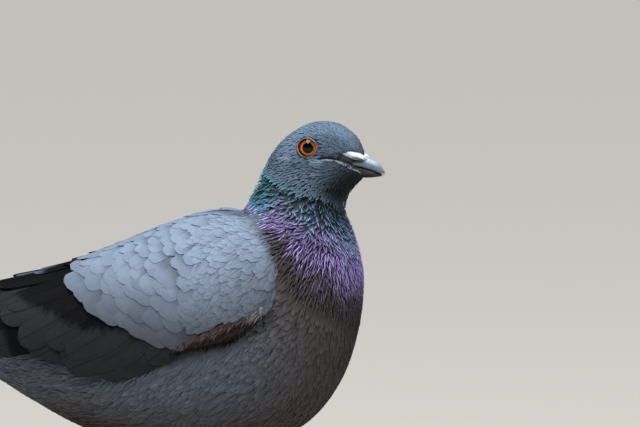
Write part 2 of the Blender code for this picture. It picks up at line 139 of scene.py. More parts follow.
leg = {
    "side": 23,
    "floor": -186,
    "thigh": ((-52, 2, 78, 14), (-60, 1, 60, 12), (-68, 0, 46, 7), (-73, 0, 38.5, 3.6)),
    "shank": ((-73.2, 0, 38.2, 3), (-71.5, 0, 32, 2.2), (-67, 0, 18, 2.05), (-62.5, 0, 5, 2.7)),
    "pad": (-62, 0, 3),
    "padSize": (4.8, 4.4, 2.8),
    "toes": {  # heading in degrees, length, radius at the root and at the claw
        "inner": (-42, 20, 1.8, 1.5), "middle": (2, 27, 1.9, 1.5), "outer": (45, 22, 1.8, 1.5),
        "hind": (188, 16, 1.8, 1.4),
    },
    "claw": 7,
    "clawStops": ((0, 0.1, 1.25), (0.35, 0.5, 1.06), (0.7, -0.1, 0.69)),  # share of the length, height, radius
    "voxel": 0.4,
    "thighSkin": 0.88,  # share of the feathered thigh's width
    "scuteGap": 1.9,
    "scuteRise": 0.22,
}


# Surfaces that the feathers lie on
def blendRows(rows, place):
    rows = np.asarray(rows, float)
    last = len(rows) - 1
    place = np.clip(np.asarray(place, float), 0, last)
    i = np.minimum(place.astype(int), last - 1)
    t = (place - i)[..., None]
    p, q, r, s = (rows[np.clip(i + k, 0, last)] for k in (-1, 0, 1, 2))
    return (2 * q + (r - p) * t + (2 * p - 5 * q + 4 * r - s) * t**2 + (3 * q - p - 3 * r + s) * t**3) / 2


def bodyRow(place):
    return blendRows((body["tailEnd"], *body["sections"]), np.asarray(place) + 1)


def spreadRows(rows, count):  # evenly from the first to the last, ready to go round
    return blendRows(rows, np.linspace(0, len(rows) - 1, count))[:, None, :]


def ease(value, low, high):
    t = np.clip((value - low) / (high - low), 0, 1)
    return t * t * (3 - 2 * t)


def fade(value, low, high):
    return 1 - ease(value, low, high)


def hump(value, start, full, leave, end):
    return ease(value, start, full) * fade(value, leave, end)


def roundTurn(count):
    return np.linspace(0, 2 * math.pi, count, endpoint=False)


def unit(vectors):
    return vectors / np.maximum(np.linalg.norm(vectors, axis=-1, keepdims=True), 1e-9)


def sectionPoints(rows, angles, outside=0.0):  # each half a rounded curve from the back line to the under line
    backX, backZ, underX, underZ, width, widest, full = (rows[..., i] for i in range(7))
    top = np.stack([backX, 0 * backX, backZ], -1)
    low = np.stack([underX, 0 * backX, underZ], -1)
    tall = np.linalg.norm(top - low, axis=-1) / 2
    up, sideways = unit(top - low), np.array([0.0, 1.0, 0.0])
    cosine, sine = np.cos(angles), np.sin(angles)
    level, side = (np.sign(part) * np.abs(part) ** (2 / full) for part in (cosine, sine))
    height = np.where(level > 0, widest + (1 - widest) * level, widest + (1 + widest) * level)
    out = unit(up * cosine[..., None] + sideways * sine[..., None])
    place = (top + low) / 2 + up * (tall * height)[..., None] + sideways * (width * side)[..., None]
    return place + out * (np.zeros_like(cosine) + outside)[..., None]


def spin(points, angle):
    x, y = points[..., 0] - body["pivot"], points[..., 1]
    c, s = np.cos(angle), np.sin(angle)
    return np.stack([body["pivot"] + c * x - s * y, s * x + c * y, points[..., 2]], -1)


def lieVectors(table, points):
    x, z, degrees = np.array(table, float).T
    gap = (points[..., :1] - x) ** 2 + (points[..., 2:] - z) ** 2
    weight = 1 / (gap + 9) ** 1.6
    parts = [-(weight * turn(np.radians(degrees))).sum(-1) for turn in (np.cos, np.sin)]
    return unit(np.stack([parts[0], 0 * parts[0], parts[1]], -1))


class Surface:
    def __init__(self, points, lie, wraps, patch, outward=1):
        self.points, self.wraps, self.patch = points, wraps, patch
        self.size = points.shape[:2]
        along = np.gradient(points, axis=0)
        across = (np.roll(points, -1, 1) - np.roll(points, 1, 1)) / 2 if wraps else np.gradient(points, axis=1)
        cross = np.cross(along, across) * outward
        self.area = np.linalg.norm(cross, axis=-1)
        self.fields = np.concatenate([points, unit(cross), along, across, lie], -1)

    def at(self, u, v):  # u and v in grid steps
        rows, columns = self.size
        u = np.clip(u, 0, rows - 1.001)
        v = v % columns if self.wraps else np.clip(v, 0, columns - 1.001)
        i, j = u.astype(int), np.minimum(v.astype(int), columns - 1)
        a, b = (u - i)[..., None], (v - j)[..., None]
        beyond = (j + 1) % columns
        near = self.fields[i, j] * (1 - b) + self.fields[i, beyond] * b
        far = self.fields[i + 1, j] * (1 - b) + self.fields[i + 1, beyond] * b
        found = near * (1 - a) + far * a
        return tuple(found[..., k : k + 3] for k in range(0, 15, 3))

    def steps(self, along, across, vector):
        uu, uv, vv = ((a * b).sum(-1) for a, b in ((along, along), (along, across), (across, across)))
        du, dv = (along * vector).sum(-1), (across * vector).sum(-1)
        size = np.maximum(uu * vv - uv * uv, 1e-9)
        return (du * vv - dv * uv) / size, (dv * uu - du * uv) / size

    def unwrap(self, u, v):
        x, y, wide, high = self.patch
        rows, columns = self.size
        return np.stack([x + wide * np.clip(u / rows, 0, 1), y + high * ((v / columns) % 1)], -1)

    def nearest(self, x, z):  # grid place of side view points
        flat = self.points[..., [0, 2]].reshape(-1, 2)
        found = [np.argmin(((flat - (a, b)) ** 2).sum(-1)) for a, b in zip(np.atleast_1d(x), np.atleast_1d(z))]
        u, v = np.unravel_index(found, self.size)
        return u.astype(float), v.astype(float)


def wingEdgeShare(rows, angles):
    upper, lower = np.radians(rows[..., 7]), np.radians(rows[..., 8])
    across = np.clip((angles - upper) / (lower - upper), 0, 1)
    return np.maximum(1 - (1 - 2 * across) ** 2, 0) ** 0.275


def hemAt(place):  # degrees round the section, for places along the wing's sections
    return np.interp(place, *wing["hem"])


def bodyPoints(place, angle, inset=0.0):  # place along the sections, angle round them; the head unturned
    lift = blendRows(wing["sections"], place + wing["bodyShift"])[..., 9]
    turned = np.degrees(np.abs((angle + math.pi) % (2 * math.pi) - math.pi))
    swell = hump(place, 8.0, 9.6, 10.0, 11.5) * lift * np.sin(np.clip((turned - 10) / 90, 0, 1) * math.pi) ** 0.8
    return sectionPoints(bodyRow(place), angle, swell - inset)


def makeBodySurface():
    rows, columns = 420, 300
    place = np.linspace(-1, len(body["sections"]) - 1, rows)[:, None]
    angle = roundTurn(columns)[None, :]
    points = bodyPoints(place, angle)
    lie = lieVectors(bodyLie, points)
    share = ease(place, body["turnFrom"], body["turnTo"]) * body["turn"]
    turned = spin(points, share)
    made = Surface(turned, spin(points + lie, share) - turned, True, (0.01, 0.01, 0.98, 0.60))
    made.straight = points
    return made


def makeWingSurface():
    section = spreadRows(wing["sections"], 320)
    angle = np.radians(np.linspace(*wing["span"], 220))[None, :]
    points = sectionPoints(section, -angle, section[..., 9] * wingEdgeShare(section, angle))
    return Surface(points, lieVectors(wingLie, points), False, (0.01, 0.63, 0.98, 0.20), -1)


def placeAt(u):  # section place of the body surface's grid steps
    return u / (bodySurface.size[0] - 1) * len(body["sections"]) - 1


def degreesAt(v):
    return np.abs((v / bodySurface.size[1] * 360 + 180) % 360 - 180)


bodySurface = makeBodySurface()
wingSurface = makeWingSurface()
eyeSum = sum((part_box(f"eye_{s}")[i] for s in ("left", "right") for i in (0, 1)), Vector()) / 4 / mm
headEye = spin(np.array([eye["centre"][0], 0.0, eye["centre"][2]]), body["turn"])
tableOrigin = np.array([eyeSum.x - headEye[0], 0.0, eyeSum.z - headEye[2]])
print("surfaces ready; the tables' origin is at", np.round(tableOrigin, 2))


# Colours and where they lie
plumage = {
    "crown": (114, 136, 162), "cheek": (90, 109, 130), "throat": (34, 36, 38), "dark": (16, 18, 22),
    "cheekPale": (150, 172, 198), "green": (86, 162, 178), "teal": (114, 172, 220), "blue": (186, 206, 255),
    "purple": (164, 150, 220), "navy": (92, 106, 138), "plum": (98, 84, 106), "breast": (76, 71, 71),
    # the belly's colour is partly painted shade: set darker than its own grey, for the shaded underside
    "flank": (88, 95, 108), "belly": (68, 60, 57), "vent": (94, 101, 112), "back": (126, 142, 164),
    "rump": (172, 180, 190), "covert": (132, 150, 174), "shadedCovert": (74, 78, 88), "bar": (7, 8, 11),
    "greater": (35, 38, 42), "secondary": (38, 41, 47), "primary": (36, 38, 43), "tertial": (84, 94, 110),
    "tailCovert": (98, 107, 122), "tail": (84, 93, 106), "outerTail": (182, 188, 196), "brown": (86, 74, 71),
    "pale": (190, 198, 208), "shoulder": (80, 84, 94),
    "lid": (44, 40, 44), "lidCorner": (150, 92, 76), "lidRim": (136, 128, 122), "leg": (168, 74, 74),
    # billTop is partly painted highlight on the upper bill's ridge
    "billEdge": (74, 78, 86), "billSide": (98, 114, 132), "billTop": (150, 172, 194), "billTip": (206, 206, 204),
    "nostrilAndShadow": (6, 7, 9), "lowerBill": (6, 7, 8), "lowerBillSide": (54, 60, 68),
    "cere": (212, 222, 230), "cereSlitAndShadow": (14, 15, 18), "cereUnderShade": (160, 172, 190),
    "claw": (62, 52, 50), "clawTip": (26, 24, 24),
}


def linear(colour):
    c = np.asarray(colour, float) / 255
    return np.where(c < 0.04045, c / 12.92, ((c + 0.055) / 1.055) ** 2.4)


paint = {name: linear(colour) for name, colour in plumage.items()}
paint.update(wingRoot=paint["covert"] * 0.75, faceLine=paint["dark"] * 0.5)
neckZones = {  # places along the sections at angles from the back line
    "angles": (0, 40, 52, 78, 100, 128, 165, 180),
    "purple": (10.4, 10.3, 10.1, 9.8, 9.4, 9.6, 9.6, 9.6),
    "top": (13.4, 13.1, 13, 12.9, 12.8, 13, 12.5, 12.5),
    "flicker": 0.3,
    "colours": {  # upwards, each from nothing to full between two shares of the neck
        "plum": (-0.12, 0.06), "purple": (0.02, 0.26), "blue": (0.36, 0.58), "teal": (0.52, 0.74),
        "green": (0.7, 0.92),
    },
}
face = {  # side view of the head looking straight ahead: x, z
    "bare": ((6.8, -5.6), (11, -5.1), (13.4, -4.9), (14.5, -3.4), (17.4, -2.2), (22, -2.2), (24.5, -2.5), (26, -3),
             (26, -15.4), (24.5, -14.6), (22.8, -12), (19.4, -9.9), (15.2, -7.4), (11, -6.1), (7, -6.1)),
    "crease": ((4.5, -5.9), (6.6, -5.4), (11.2, -5.3), (15.2, -6.6), (17.7, -7.6), (23.5, -9.4)),
    "fold": ((5.5, -6.5), (7.6, -6.25), (11.2, -6.3), (14.8, -7.5), (19.1, -10), (22, -11.6), (23.5, -13)),
    "lores": ((6, -4.6), (10.5, -4.2), (13.5, -4)),
    "ear": ((-7.6, -9), (-6.4, -8.8)),
    "streaks": (((-15, -6.6), (-10.5, -6)), ((1, -7), (5.5, -6.6))),
}


def mix(a, b, share):
    return a + (b - a) * np.asarray(share)[..., None]


def layColours(tint, steps):  # colours laid one over another
    for colour, share in steps:
        tint = mix(tint, paint[colour], share)
    return tint


def lineDistance(x, z, line):  # from side view points to an open line
    nearest = np.full(np.shape(x), 1e9)
    for (ax, az), (bx, bz) in zip(line[:-1], line[1:]):
        dx, dz = bx - ax, bz - az
        t = np.clip(((x - ax) * dx + (z - az) * dz) / (dx * dx + dz * dz), 0, 1)
        nearest = np.minimum(nearest, np.hypot(x - ax - t * dx, z - az - t * dz))
    return nearest


def insideDepth(x, z, outline):  # how far inside an outline, negative outside
    inside = np.zeros(np.shape(x), bool)
    for (ax, az), (bx, bz) in zip(outline, outline[1:] + outline[:1]):
        if az != bz:
            inside ^= ((az > z) != (bz > z)) & (x < (bx - ax) * (z - az) / (bz - az) + ax)
    return np.where(inside, 1, -1) * lineDistance(x, z, outline + outline[:1])


def straightAt(u, v):
    rows, columns = bodySurface.size
    i = np.clip(np.round(u).astype(int), 0, rows - 1)
    j = np.round(v).astype(int) % columns
    return np.moveaxis(bodySurface.straight[i, j][..., [0, 2]], -1, 0)


def neckEdges(degrees):
    return (np.interp(degrees, neckZones["angles"], neckZones[edge]) for edge in ("purple", "top"))


def bodyTint(u, v, flicker):  # u, v in the body surface's grid steps; flicker is one number for each feather
    place, degrees = placeAt(u), degreesAt(v)
    low, top = neckEdges(degrees)
    base = (place - low) / (top - low) + (flicker - 0.5) * neckZones["flicker"]
    shift = 0.5 * fade(degrees, 35, 75) + 0.12 * ease(degrees, 115, 150)
    zone = base + shift * ease(place, low - 0.3, low + 0.3)
    side = mix(paint["back"], paint["flank"], ease(degrees, 30, 75))
    trunk = (
        ("belly", ease(degrees, 104, 150)),
        ("breast", ease(place, 5.5, 9.0) * ease(degrees, 35, 90)),
        ("vent", fade(place, 1.2, 3.2) * ease(degrees, 60, 110)),
        ("rump", fade(place, 2.2, 3.6) * fade(degrees, 45, 80)),
        ("tailCovert", fade(place, 0.4, 1.4)),
    )
    hem = degrees - hemAt(place + wing["bodyShift"])
    shadow = hump(hem, -6, 0, 0.5, 6) * hump(place, 0.5, 2, 7.6, 8.4)
    tint = layColours(side, trunk) * (1 - body["wingShadow"] * shadow)[..., None]
    x, z = straightAt(u, v)
    onFace = ease(place, 13.5, 14.5) * (degrees > 35)

    def along(line, inner, outer):
        return onFace * fade(lineDistance(x, z, line), inner, outer)

    neckAndHead = (
        *((colour, ease(zone, *edges)) for colour, edges in neckZones["colours"].items()),
        ("navy", 0.65 * ease(degrees, 104, 140) * ease(zone, 0.45, 0.75)),
        ("cheek", ease(base, np.interp(degrees, (45, 85), (0.80, 0.58)), 1.02)),
        ("crown", ease(place, 13.6, 15) * fade(degrees, 55, 100)),
        ("throat", ease(place, np.interp(degrees, (120, 150), (12.6, 11.5)), 13.4) * ease(degrees, 100, 145)),
        ("wingRoot", 0.8 * hump(place, 6.6, 7.6, 9.0, 9.9) * hump(degrees, 14, 30, 58, 84)),
        *(("cheekPale", 0.55 * along(line, 0.5, 2.2)) for line in face["streaks"]),
        ("dark", 0.75 * along(face["ear"], 0.5, 1.7)),
        ("dark", 0.55 * along(face["lores"], 0.3, 1.6)),
        # painted shadow along the crease above the gape
        ("faceLine", along(face["crease"], 0.35, 0.75)),
    )
    return layColours(tint, neckAndHead) * (0.80 + 0.40 * flicker)[..., None]


# Feather making
vane = {  # a feather's usual settings: heights in millimetres, the rest in shares of its length and width
    "root": 0.5, "round": 0.35, "broad": 0.4,  # width at the root, how round the tip is, where it is broadest
    "sink": 1.8, "rise": 0, "camber": 0.1, "thick": 0.14,  # the root's depth, the tip's height, the arch across
    "skew": 0, "bend": 1,
    "vary": 0.08, "stray": 8, "ruffle": 0, "fringe": 0,  # by chance: size, degrees, tip height, tip edge
    "curl": 0, "heave": 0, "shadeFrom": (0.25, 0.85),  # slow waves of direction and height, painted shade towards the root
}


def vaneFaces(rows, columns):  # the upper side, and an underside that meets it at both edges
    top = np.arange(rows * columns).reshape(rows, columns)
    under = rows * columns + np.arange(rows)
    a, b, c, d = top[:-1, :-1], top[:-1, 1:], top[1:, 1:], top[1:, :-1]
    left, right = top[:, 0], top[:, -1]
    faces = (
        (a, d, c), (a, c, b),
        (left[:-1], under[:-1], under[1:]), (left[:-1], under[1:], left[1:]),
        (under[:-1], right[:-1], right[1:]), (under[:-1], right[1:], under[1:]),
        (0 * top[0, :-1] + under[0], top[0, :-1], top[0, 1:]),
        (0 * top[0, :-1] + under[-1], top[-1, 1:], top[-1, :-1]),
    )
    return np.concatenate([np.stack([p.ravel() for p in face], -1) for face in faces])


def tangent(lie, normal, turn):
    forward = unit(lie - normal * (lie * normal).sum(-1, keepdims=True))
    return forward * np.cos(turn)[..., None] + np.cross(normal, forward) * np.sin(turn)[..., None]


def waver(points, reach, seed):  # a smooth random number, mostly from -1 to 1, at each place
    draw = np.random.default_rng(seed)
    total = 0
    for _ in range(8):
        wave = unit(draw.normal(size=3)) * 2 * math.pi / (reach * draw.uniform(0.7, 1.5))
        total = total + np.sin(points @ wave + draw.uniform(0, 2 * math.pi))
    return total / 2.8


def walk(surface, u, v, length, turn, steps=10):
    path = [(u, v)]
    for _ in range(steps):
        _, normal, along, across, lie = surface.at(u, v)
        du, dv = surface.steps(along, across, tangent(lie, normal, turn) * (length / steps)[:, None])
        u, v = u + du, v + dv
        path.append((u, v))
    return np.array(path).transpose(1, 2, 0)  # u or v, feather, step


def slide(surface, u, v, length):  # along the lie of the feathers, backwards where the length is negative
    return (path[:, -1] for path in walk(surface, u, v, length + 0 * u, 0 * u))


patchSize = 0.003  # of one feather on the bake map


def vaneOutline(style, count):  # how far down the feather each point is, in shares, and its share of half the width
    rows, columns = style["grid"]
    t = (1 - (1 - np.linspace(0, 1, rows)) ** 1.5)[:, None]
    c = np.sin(np.linspace(-1, 1, columns) * math.pi / 2)[None, :]
    grown = t * (1 - style["round"] * (1 - np.sqrt(1 - (0.985 * c) ** 2)) - style["skew"] * (1 + c) / 2)
    wide = style["root"] + (1 - style["root"]) * np.sin(np.clip(t / style["broad"], 0, 1) * math.pi / 2)
    wide = wide * (1 - (1 - style["tip"]) * ease(t, 0.55, 1.0))
    jag = chance.uniform(-1, 1, (count, 1, columns)) * style["fringe"] / style["length"]
    grown = np.clip(grown[None] + jag * t[None] ** 5, 0, 1).reshape(count, -1)
    return grown, (wide * c).ravel(), (c + 0 * t).ravel()


def vaneHeight(style, grown, across, lift):
    height = -style["sink"] + (style["sink"] + style["rise"]) * grown ** style["bend"]
    height = height + style["camber"] * (1 - across**2) * np.sin(grown * math.pi * 0.75)
    return height + (np.asarray(lift) + chance.normal(0, style["ruffle"], len(grown)))[..., None] * grown


def layFeathers(surface, u, v, style, scale=1.0, lift=0.0, angle=0.0):
    count = len(u)
    rows, columns = style["grid"]
    size = scale * (1 + chance.normal(0, style["vary"], count))
    length, half = style["length"] * size, style["width"] / 2 * size
    turn = angle + chance.normal(0, math.radians(style["stray"]), count)
    paths = walk(surface, u, v, length, turn)
    grown, out, across = vaneOutline(style, count)
    offset = out[None] * half[:, None]
    last = paths.shape[2] - 2
    station = grown * (last + 1)
    i = np.minimum(station.astype(int), last)
    share = station - i
    ends = [[np.take_along_axis(path, i + k, 1) for k in (0, 1)] for path in paths]
    midU, midV = (near * (1 - share) + far * share for near, far in ends)
    _, normal, forward, aside, lie = surface.at(midU, midV)
    sideways = np.cross(normal, tangent(lie, normal, turn[:, None] + 0 * midU))
    du, dv = surface.steps(forward, aside, sideways * offset[..., None])
    place, normal, *_ = surface.at(midU + du, midV + dv)
    points = place + normal * vaneHeight(style, grown, across, lift)[..., None]
    middle = np.arange(rows) * columns + columns // 2
    under = points[:, middle] - normal[:, middle] * style["thick"]
    patch = np.stack([offset / style["width"], grown - 0.5], -1) * patchSize

    def pick(field):  # the upper side, then the shaft's underside
        return np.concatenate([field, field[:, middle]], 1)

    return {
        "points": np.concatenate([points, under], 1),
        "faces": vaneFaces(rows, columns),
        "bake": pick(surface.unwrap(u, v)[:, None, :] + patch),
        "vane": pick(np.stack([offset, grown * length[:, None]], -1)),
        "grown": pick(grown),
        "u": pick(midU + du),
        "v": pick(midV + dv),
        "across": pick(np.broadcast_to(across, grown.shape)),
    }


def treeOf(points):
    tree = KDTree(len(points))
    for i, p in enumerate(points):
        tree.insert(p, i)
    tree.balance()
    return tree


def scatter(surface, gap, keep, crowd=9):  # places at random, none nearer to another than the gap
    rows, columns = surface.size
    density = surface.area * keep / gap**2
    total = density.sum()
    count = int(total * crowd)
    cell = chance.choice(rows * columns, count, p=(density / total).ravel())
    u, v = (part + chance.uniform(-0.5, 0.5, count) for part in (cell // columns, cell % columns))
    u = np.clip(u, 0, rows - 1.01)
    places = surface.at(u, v)[0]
    reach = gap[u.astype(int), v.astype(int) % columns]
    tree = treeOf(places)
    taken, chosen = bytearray(count), []
    for i in range(count):
        if not taken[i]:
            chosen.append(i)
            for _, j, _ in tree.find_range(places[i], reach[i]):
                taken[j] = 1
    return u[chosen], v[chosen]


def toWorld(points):
    return (points + tableOrigin) * mm


def newObject(name, mesh, material):
    made = bpy.data.objects.new(name, mesh)
    bpy.context.scene.collection.objects.link(made)
    mesh.materials.clear()
    mesh.materials.append(material)
    return made


def readVertices(values, label):  # three numbers for each vertex
    found = np.empty(len(values) * 3)
    values.foreach_get(label, found)
    return found.reshape(-1, 3)


def paintMesh(mesh, tint):  # one colour for each vertex
    colours = mesh.attributes.new("tint", "FLOAT_COLOR", "POINT")
    colours.data.foreach_set("color", np.insert(tint, 3, 1, axis=1).astype(np.float32).ravel())


def meshFrom(name, points, faces, tint=None, maps=None, sharp=50):
    mesh = bpy.data.meshes.new(name)
    mesh.vertices.add(len(points))
    mesh.vertices.foreach_set("co", toWorld(points).astype(np.float32).ravel())
    corners = faces.shape[1]
    mesh.loops.add(len(faces) * corners)
    mesh.loops.foreach_set("vertex_index", faces.astype(np.int32).ravel())
    mesh.polygons.add(len(faces))
    mesh.polygons.foreach_set("loop_start", np.arange(0, len(faces) * corners, corners, dtype=np.int32))
    mesh.update(calc_edges=True)
    mesh.polygons.foreach_set("use_smooth", np.ones(len(faces), bool))
    if tint is not None:
        paintMesh(mesh, tint)
    for label, places in (maps or {}).items():
        layer = mesh.uv_layers.new(name=label)
        layer.data.foreach_set("uv", places[faces].astype(np.float32).ravel())
    if sharp:
        mesh.set_sharp_from_angle(angle=math.radians(sharp))
    return mesh


def handOver(piece, slot, *nodes):  # the nodes are the CAD solids that the piece stands in for
    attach(piece, "root")
    if nodes:
        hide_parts(*nodes)


def coatPiece(name, groups, material, slot, replaced=(), mirror=False):
    faces, fields, base = [], [], 0
    for group, tint in groups:
        count, corners = group["points"].shape[:2]
        offsets = base + np.arange(count)[:, None, None] * corners
        faces.append((group["faces"][None] + offsets).reshape(-1, 3))
        tint = np.broadcast_to(tint, group["points"].shape)
        layers = group["points"], tint, group["vane"], group["bake"]
        fields.append([layer.reshape(-1, layer.shape[-1]) for layer in layers])
        base += count * corners
    points, tints, vanes, bakes = map(np.concatenate, zip(*fields))
    faces = np.concatenate(faces)
    if mirror:
        points, faces = points * (1, -1, 1), faces[:, ::-1]
    mesh = meshFrom(name, points, faces, tints, {"OFBake": bakes, "vane": vanes})
    handOver(newObject(name, mesh, material), slot, *replaced)
    print(f"{name}: {len(faces)} triangles")


# Materials
class Graph:  # one node tree, with short calls for the nodes used here
    def __init__(self, tree):
        self.tree = tree

    def join(self, source, target):
        self.tree.links.new(source, target)

    def add(self, kind, values=None, **options):
        node = self.tree.nodes.new("ShaderNode" + kind)
        for label, value in options.items():
            setattr(node, label, value)
        for socket, value in (values or {}).items():
            if isinstance(value, bpy.types.NodeSocket):
                self.join(value, node.inputs[socket])
            else:
                node.inputs[socket].default_value = value
        return node

    def math(self, operation, first, second=0.0, clamp=False):
        return self.add("Math", {0: first, 1: second}, operation=operation, use_clamp=clamp).outputs[0]

    def times(self, first, second):
        return self.math("MULTIPLY", first, second)

    def vector(self, operation, first, second=(0, 0, 0), output=0):
        return self.add("VectorMath", {0: first, 1: second}, operation=operation).outputs[output]

    def scale(self, colour, share):
        return self.add("VectorMath", {0: colour, "Scale": share}, operation="SCALE").outputs[0]

    def blend(self, share, first, second):
        return self.add("Mix", {0: share, 6: first, 7: second}, data_type="RGBA").outputs[2]

    def spread(self, value, low, high, least=0.0, most=1.0):
        return self.add("MapRange", {0: value, 1: low, 2: high, 3: least, 4: most}).outputs[0]

    def noise(self, place, scale, detail, roughness=0.5):
        values = {"Vector": place, "Scale": scale, "Detail": detail, "Roughness": roughness}
        return self.add("TexNoise", values).outputs[0]

    def place(self):
        return self.add("TexCoord").outputs["Object"]

    def tint(self):
        return self.add("Attribute", attribute_name="tint").outputs["Color"]

    def bump(self, shader, height, strength, distance):
        made = self.add("Bump", {"Height": height, "Strength": strength, "Distance": distance})
        self.join(made.outputs[0], shader.inputs["Normal"])


barbInputs = {"Barb Angle": 0.3, "Per Millimetre": 3, "Shaft Width": 0.2}


def makeBarbGroup():  # the streaks, shaft and splits of a feather, from its own map in millimetres
    tree = bpy.data.node_groups.new("featherBarbs", "ShaderNodeTree")
    for label, value in barbInputs.items():
        tree.interface.new_socket(label, in_out="INPUT", socket_type="NodeSocketFloat").default_value = value
    for label in ("Streak", "Shaft", "Split"):
        tree.interface.new_socket(label, in_out="OUTPUT", socket_type="NodeSocketFloat")
    inputs, end = tree.nodes.new("NodeGroupInput").outputs, tree.nodes.new("NodeGroupOutput")
    graph = Graph(tree)
    across, along, _ = graph.add("SeparateXYZ", {0: graph.add("UVMap", uv_map="vane").outputs[0]}).outputs
    side = graph.math("ABSOLUTE", across)
    sine, cosine = (graph.math(name, inputs["Barb Angle"]) for name in ("SINE", "COSINE"))
    over = graph.math("SUBTRACT", graph.times(along, sine), graph.times(side, cosine))
    run = graph.math("ADD", graph.times(along, cosine), graph.times(side, sine))
    values = {0: graph.times(over, inputs["Per Millimetre"]), 1: graph.times(run, 0.22), 2: across}
    barb = graph.add("CombineXYZ", values).outputs[0]
    streak = graph.spread(graph.noise(barb, 1.0, 2.0, 0.6), 0.28, 0.72)
    shaft = graph.math("SUBTRACT", 1.0, graph.math("DIVIDE", side, inputs["Shaft Width"]), True)
    clump = graph.noise(graph.vector("MULTIPLY", barb, (0.22, 0.6, 0.0)), 1.0, 1.0)
    for value, socket in zip((streak, shaft, graph.spread(clump, 0.62, 0.72)), end.inputs):
        graph.join(value, socket)
    return tree


barbGroup = makeBarbGroup()


def newMaterial(name, roughness, **constants):
    material = bpy.data.materials.new(name)
    material.use_nodes = True
    shader = next(n for n in material.node_tree.nodes if n.type == "BSDF_PRINCIPLED")
    shader.inputs["Roughness"].default_value = roughness
    for label, value in constants.items():
        shader.inputs[label.replace("_", " ")].default_value = value
    return material, Graph(material.node_tree), shader


def bareMaterial(name, roughness, noise, shades, bump, cells=None, **constants):  # for skin, horn and claws
    material, graph, shader = newMaterial(name, roughness, **constants)
    place = graph.place()
    height = graph.noise(place, *noise)
    graph.join(graph.scale(graph.tint(), graph.spread(height, 0.3, 0.7, *shades)), shader.inputs["Base Color"])
    if cells:
        height = graph.add("TexVoronoi", {"Vector": place, "Scale": cells}).outputs["Distance"]
    graph.bump(shader, height, *bump)
    return material


def makeFeatherMaterial(name, look):
    material, graph, shader = newMaterial(
        name, look["roughness"], Sheen_Weight=look["sheen"], Specular_IOR_Level=look["gloss"]
    )
    sizes = math.radians(look["barbs"]), look["fine"], look["shaft"]
    streak, shaft, split = graph.add("Group", dict(zip(barbInputs, sizes)), node_tree=barbGroup).outputs
    cloud = graph.noise(graph.place(), 160.0, 3.0)
    shade = graph.spread(streak, 0.0, 1.0, 1 - look["streaks"], 1 + look["streaks"])
    mottle = graph.spread(cloud, 0.3, 0.7, 1 - look["mottle"], 1 + look["mottle"])
    colour = graph.scale(graph.tint(), graph.times(shade, mottle))
    cleft = graph.blend(split, colour, graph.scale(colour, 1 - look["splits"]))
    line = graph.blend(shaft, cleft, graph.scale(colour, look["shaftShade"]))
    graph.join(line, shader.inputs["Base Color"])
    graph.bump(shader, graph.math("ADD", streak, graph.times(shaft, 1.5)), look["bump"], 0.0002)
    rough = graph.spread(cloud, 0.0, 1.0, look["roughness"] - 0.08, look["roughness"] + 0.08)
    graph.join(rough, shader.inputs["Roughness"])
    return material


softFeather = {
    "roughness": 0.8, "sheen": 0, "gloss": 0.15, "barbs": 10, "fine": 3.4, "shaft": 0.05, "shaftShade": 1,
    "streaks": 0.22, "mottle": 0.06, "splits": 0.35, "bump": 0.5,
}
featherLooks = {  # what each kind of feather changes
    "contour feathers": {},
    "head feathers": {"streaks": 0.14, "splits": 0.1, "bump": 0.3},
    "neck feathers": {"roughness": 0.5, "gloss": 0.3, "streaks": 0.25, "splits": 0.4},
    "wing coverts": {"barbs": 34, "streaks": 0.07, "splits": 0.06, "bump": 0.35, "shaft": 0.22, "shaftShade": 1.12,
                     "roughness": 0.7},
    "flight feathers": {"barbs": 30, "fine": 3, "streaks": 0.1, "splits": 0.1, "shaft": 0.5, "shaftShade": 0.5,
                        "roughness": 0.6, "gloss": 0.08},
}
downMaterial, headMaterial, neckMaterial, covertMaterial, flightMaterial = (
    makeFeatherMaterial(name, {**softFeather, **changes}) for name, changes in featherLooks.items()
)


# Coat of the head, neck and body
headCoat = {**vane, "gap": 0.84, "grid": (4, 3), "length": 2.6, "width": 1.35, "tip": 0.5, "round": 0.4,
            "broad": 0.5, "sink": 0.55, "camber": 0.07, "stray": 7, "ruffle": 0.03}
neckCoat = {**vane, "gap": 1.5, "grid": (6, 3), "length": 4.8, "width": 1.75, "root": 0.4, "tip": 0.35,
            "round": 0.5, "sink": 2, "rise": 0.05, "camber": 0.26, "thick": 0.22, "stray": 13, "ruffle": 0.24,
            "fringe": 0.3, "curl": 36, "heave": 0.45, "shadeFrom": (0.42, 0.88), "bend": 1.3}
collarCoat = {**vane, "gap": 1.12, "grid": (6, 3), "length": 3.8, "width": 1, "root": 0.4, "tip": 0.35,
              "round": 0.5, "sink": 1.5, "rise": 0.03, "camber": 0.12, "thick": 0.16, "stray": 9, "ruffle": 0.16,
              "fringe": 0.4, "curl": 16, "heave": 0.14, "shadeFrom": (0.42, 0.9)}
bodyCoat = {**vane, "gap": 2.1, "grid": (7, 7), "length": 9, "width": 4.2, "root": 0.4, "tip": 0.55,
            "broad": 0.45, "sink": 1.5, "stray": 6, "ruffle": 0.05, "fringe": 1}
rumpCoat = {**vane, "gap": 3.4, "grid": (9, 7), "length": 14, "width": 8, "root": 0.4, "tip": 0.7,
            "broad": 0.45, "sink": 1.5, "rise": 0.05, "camber": 0.12, "stray": 5, "ruffle": 0.06,
            "fringe": 1}
hairCoat = {**vane, "gap": 1.5, "grid": (5, 3), "length": 4.6, "width": 0.36, "root": 0.7, "tip": 0.35,
            "round": 0.2, "broad": 0.3, "sink": 0.4, "rise": 0.1, "camber": 0.03, "thick": 0.1,
            "ruffle": 0.05}


def eyeFrame(side):  # the eye's middle, the way it looks, and the way to its rear corner
    x, y, z = eye["centre"]
    tilt = math.radians(eye["forward"])
    centre = spin(np.array([x, side * y, z]), body["turn"])
    axis = spin(np.array([x + math.sin(tilt), side * (y + math.cos(tilt)), z]), body["turn"]) - centre
    return centre, axis, unit(np.cross(axis, [0, 0, 1.0])) * -side


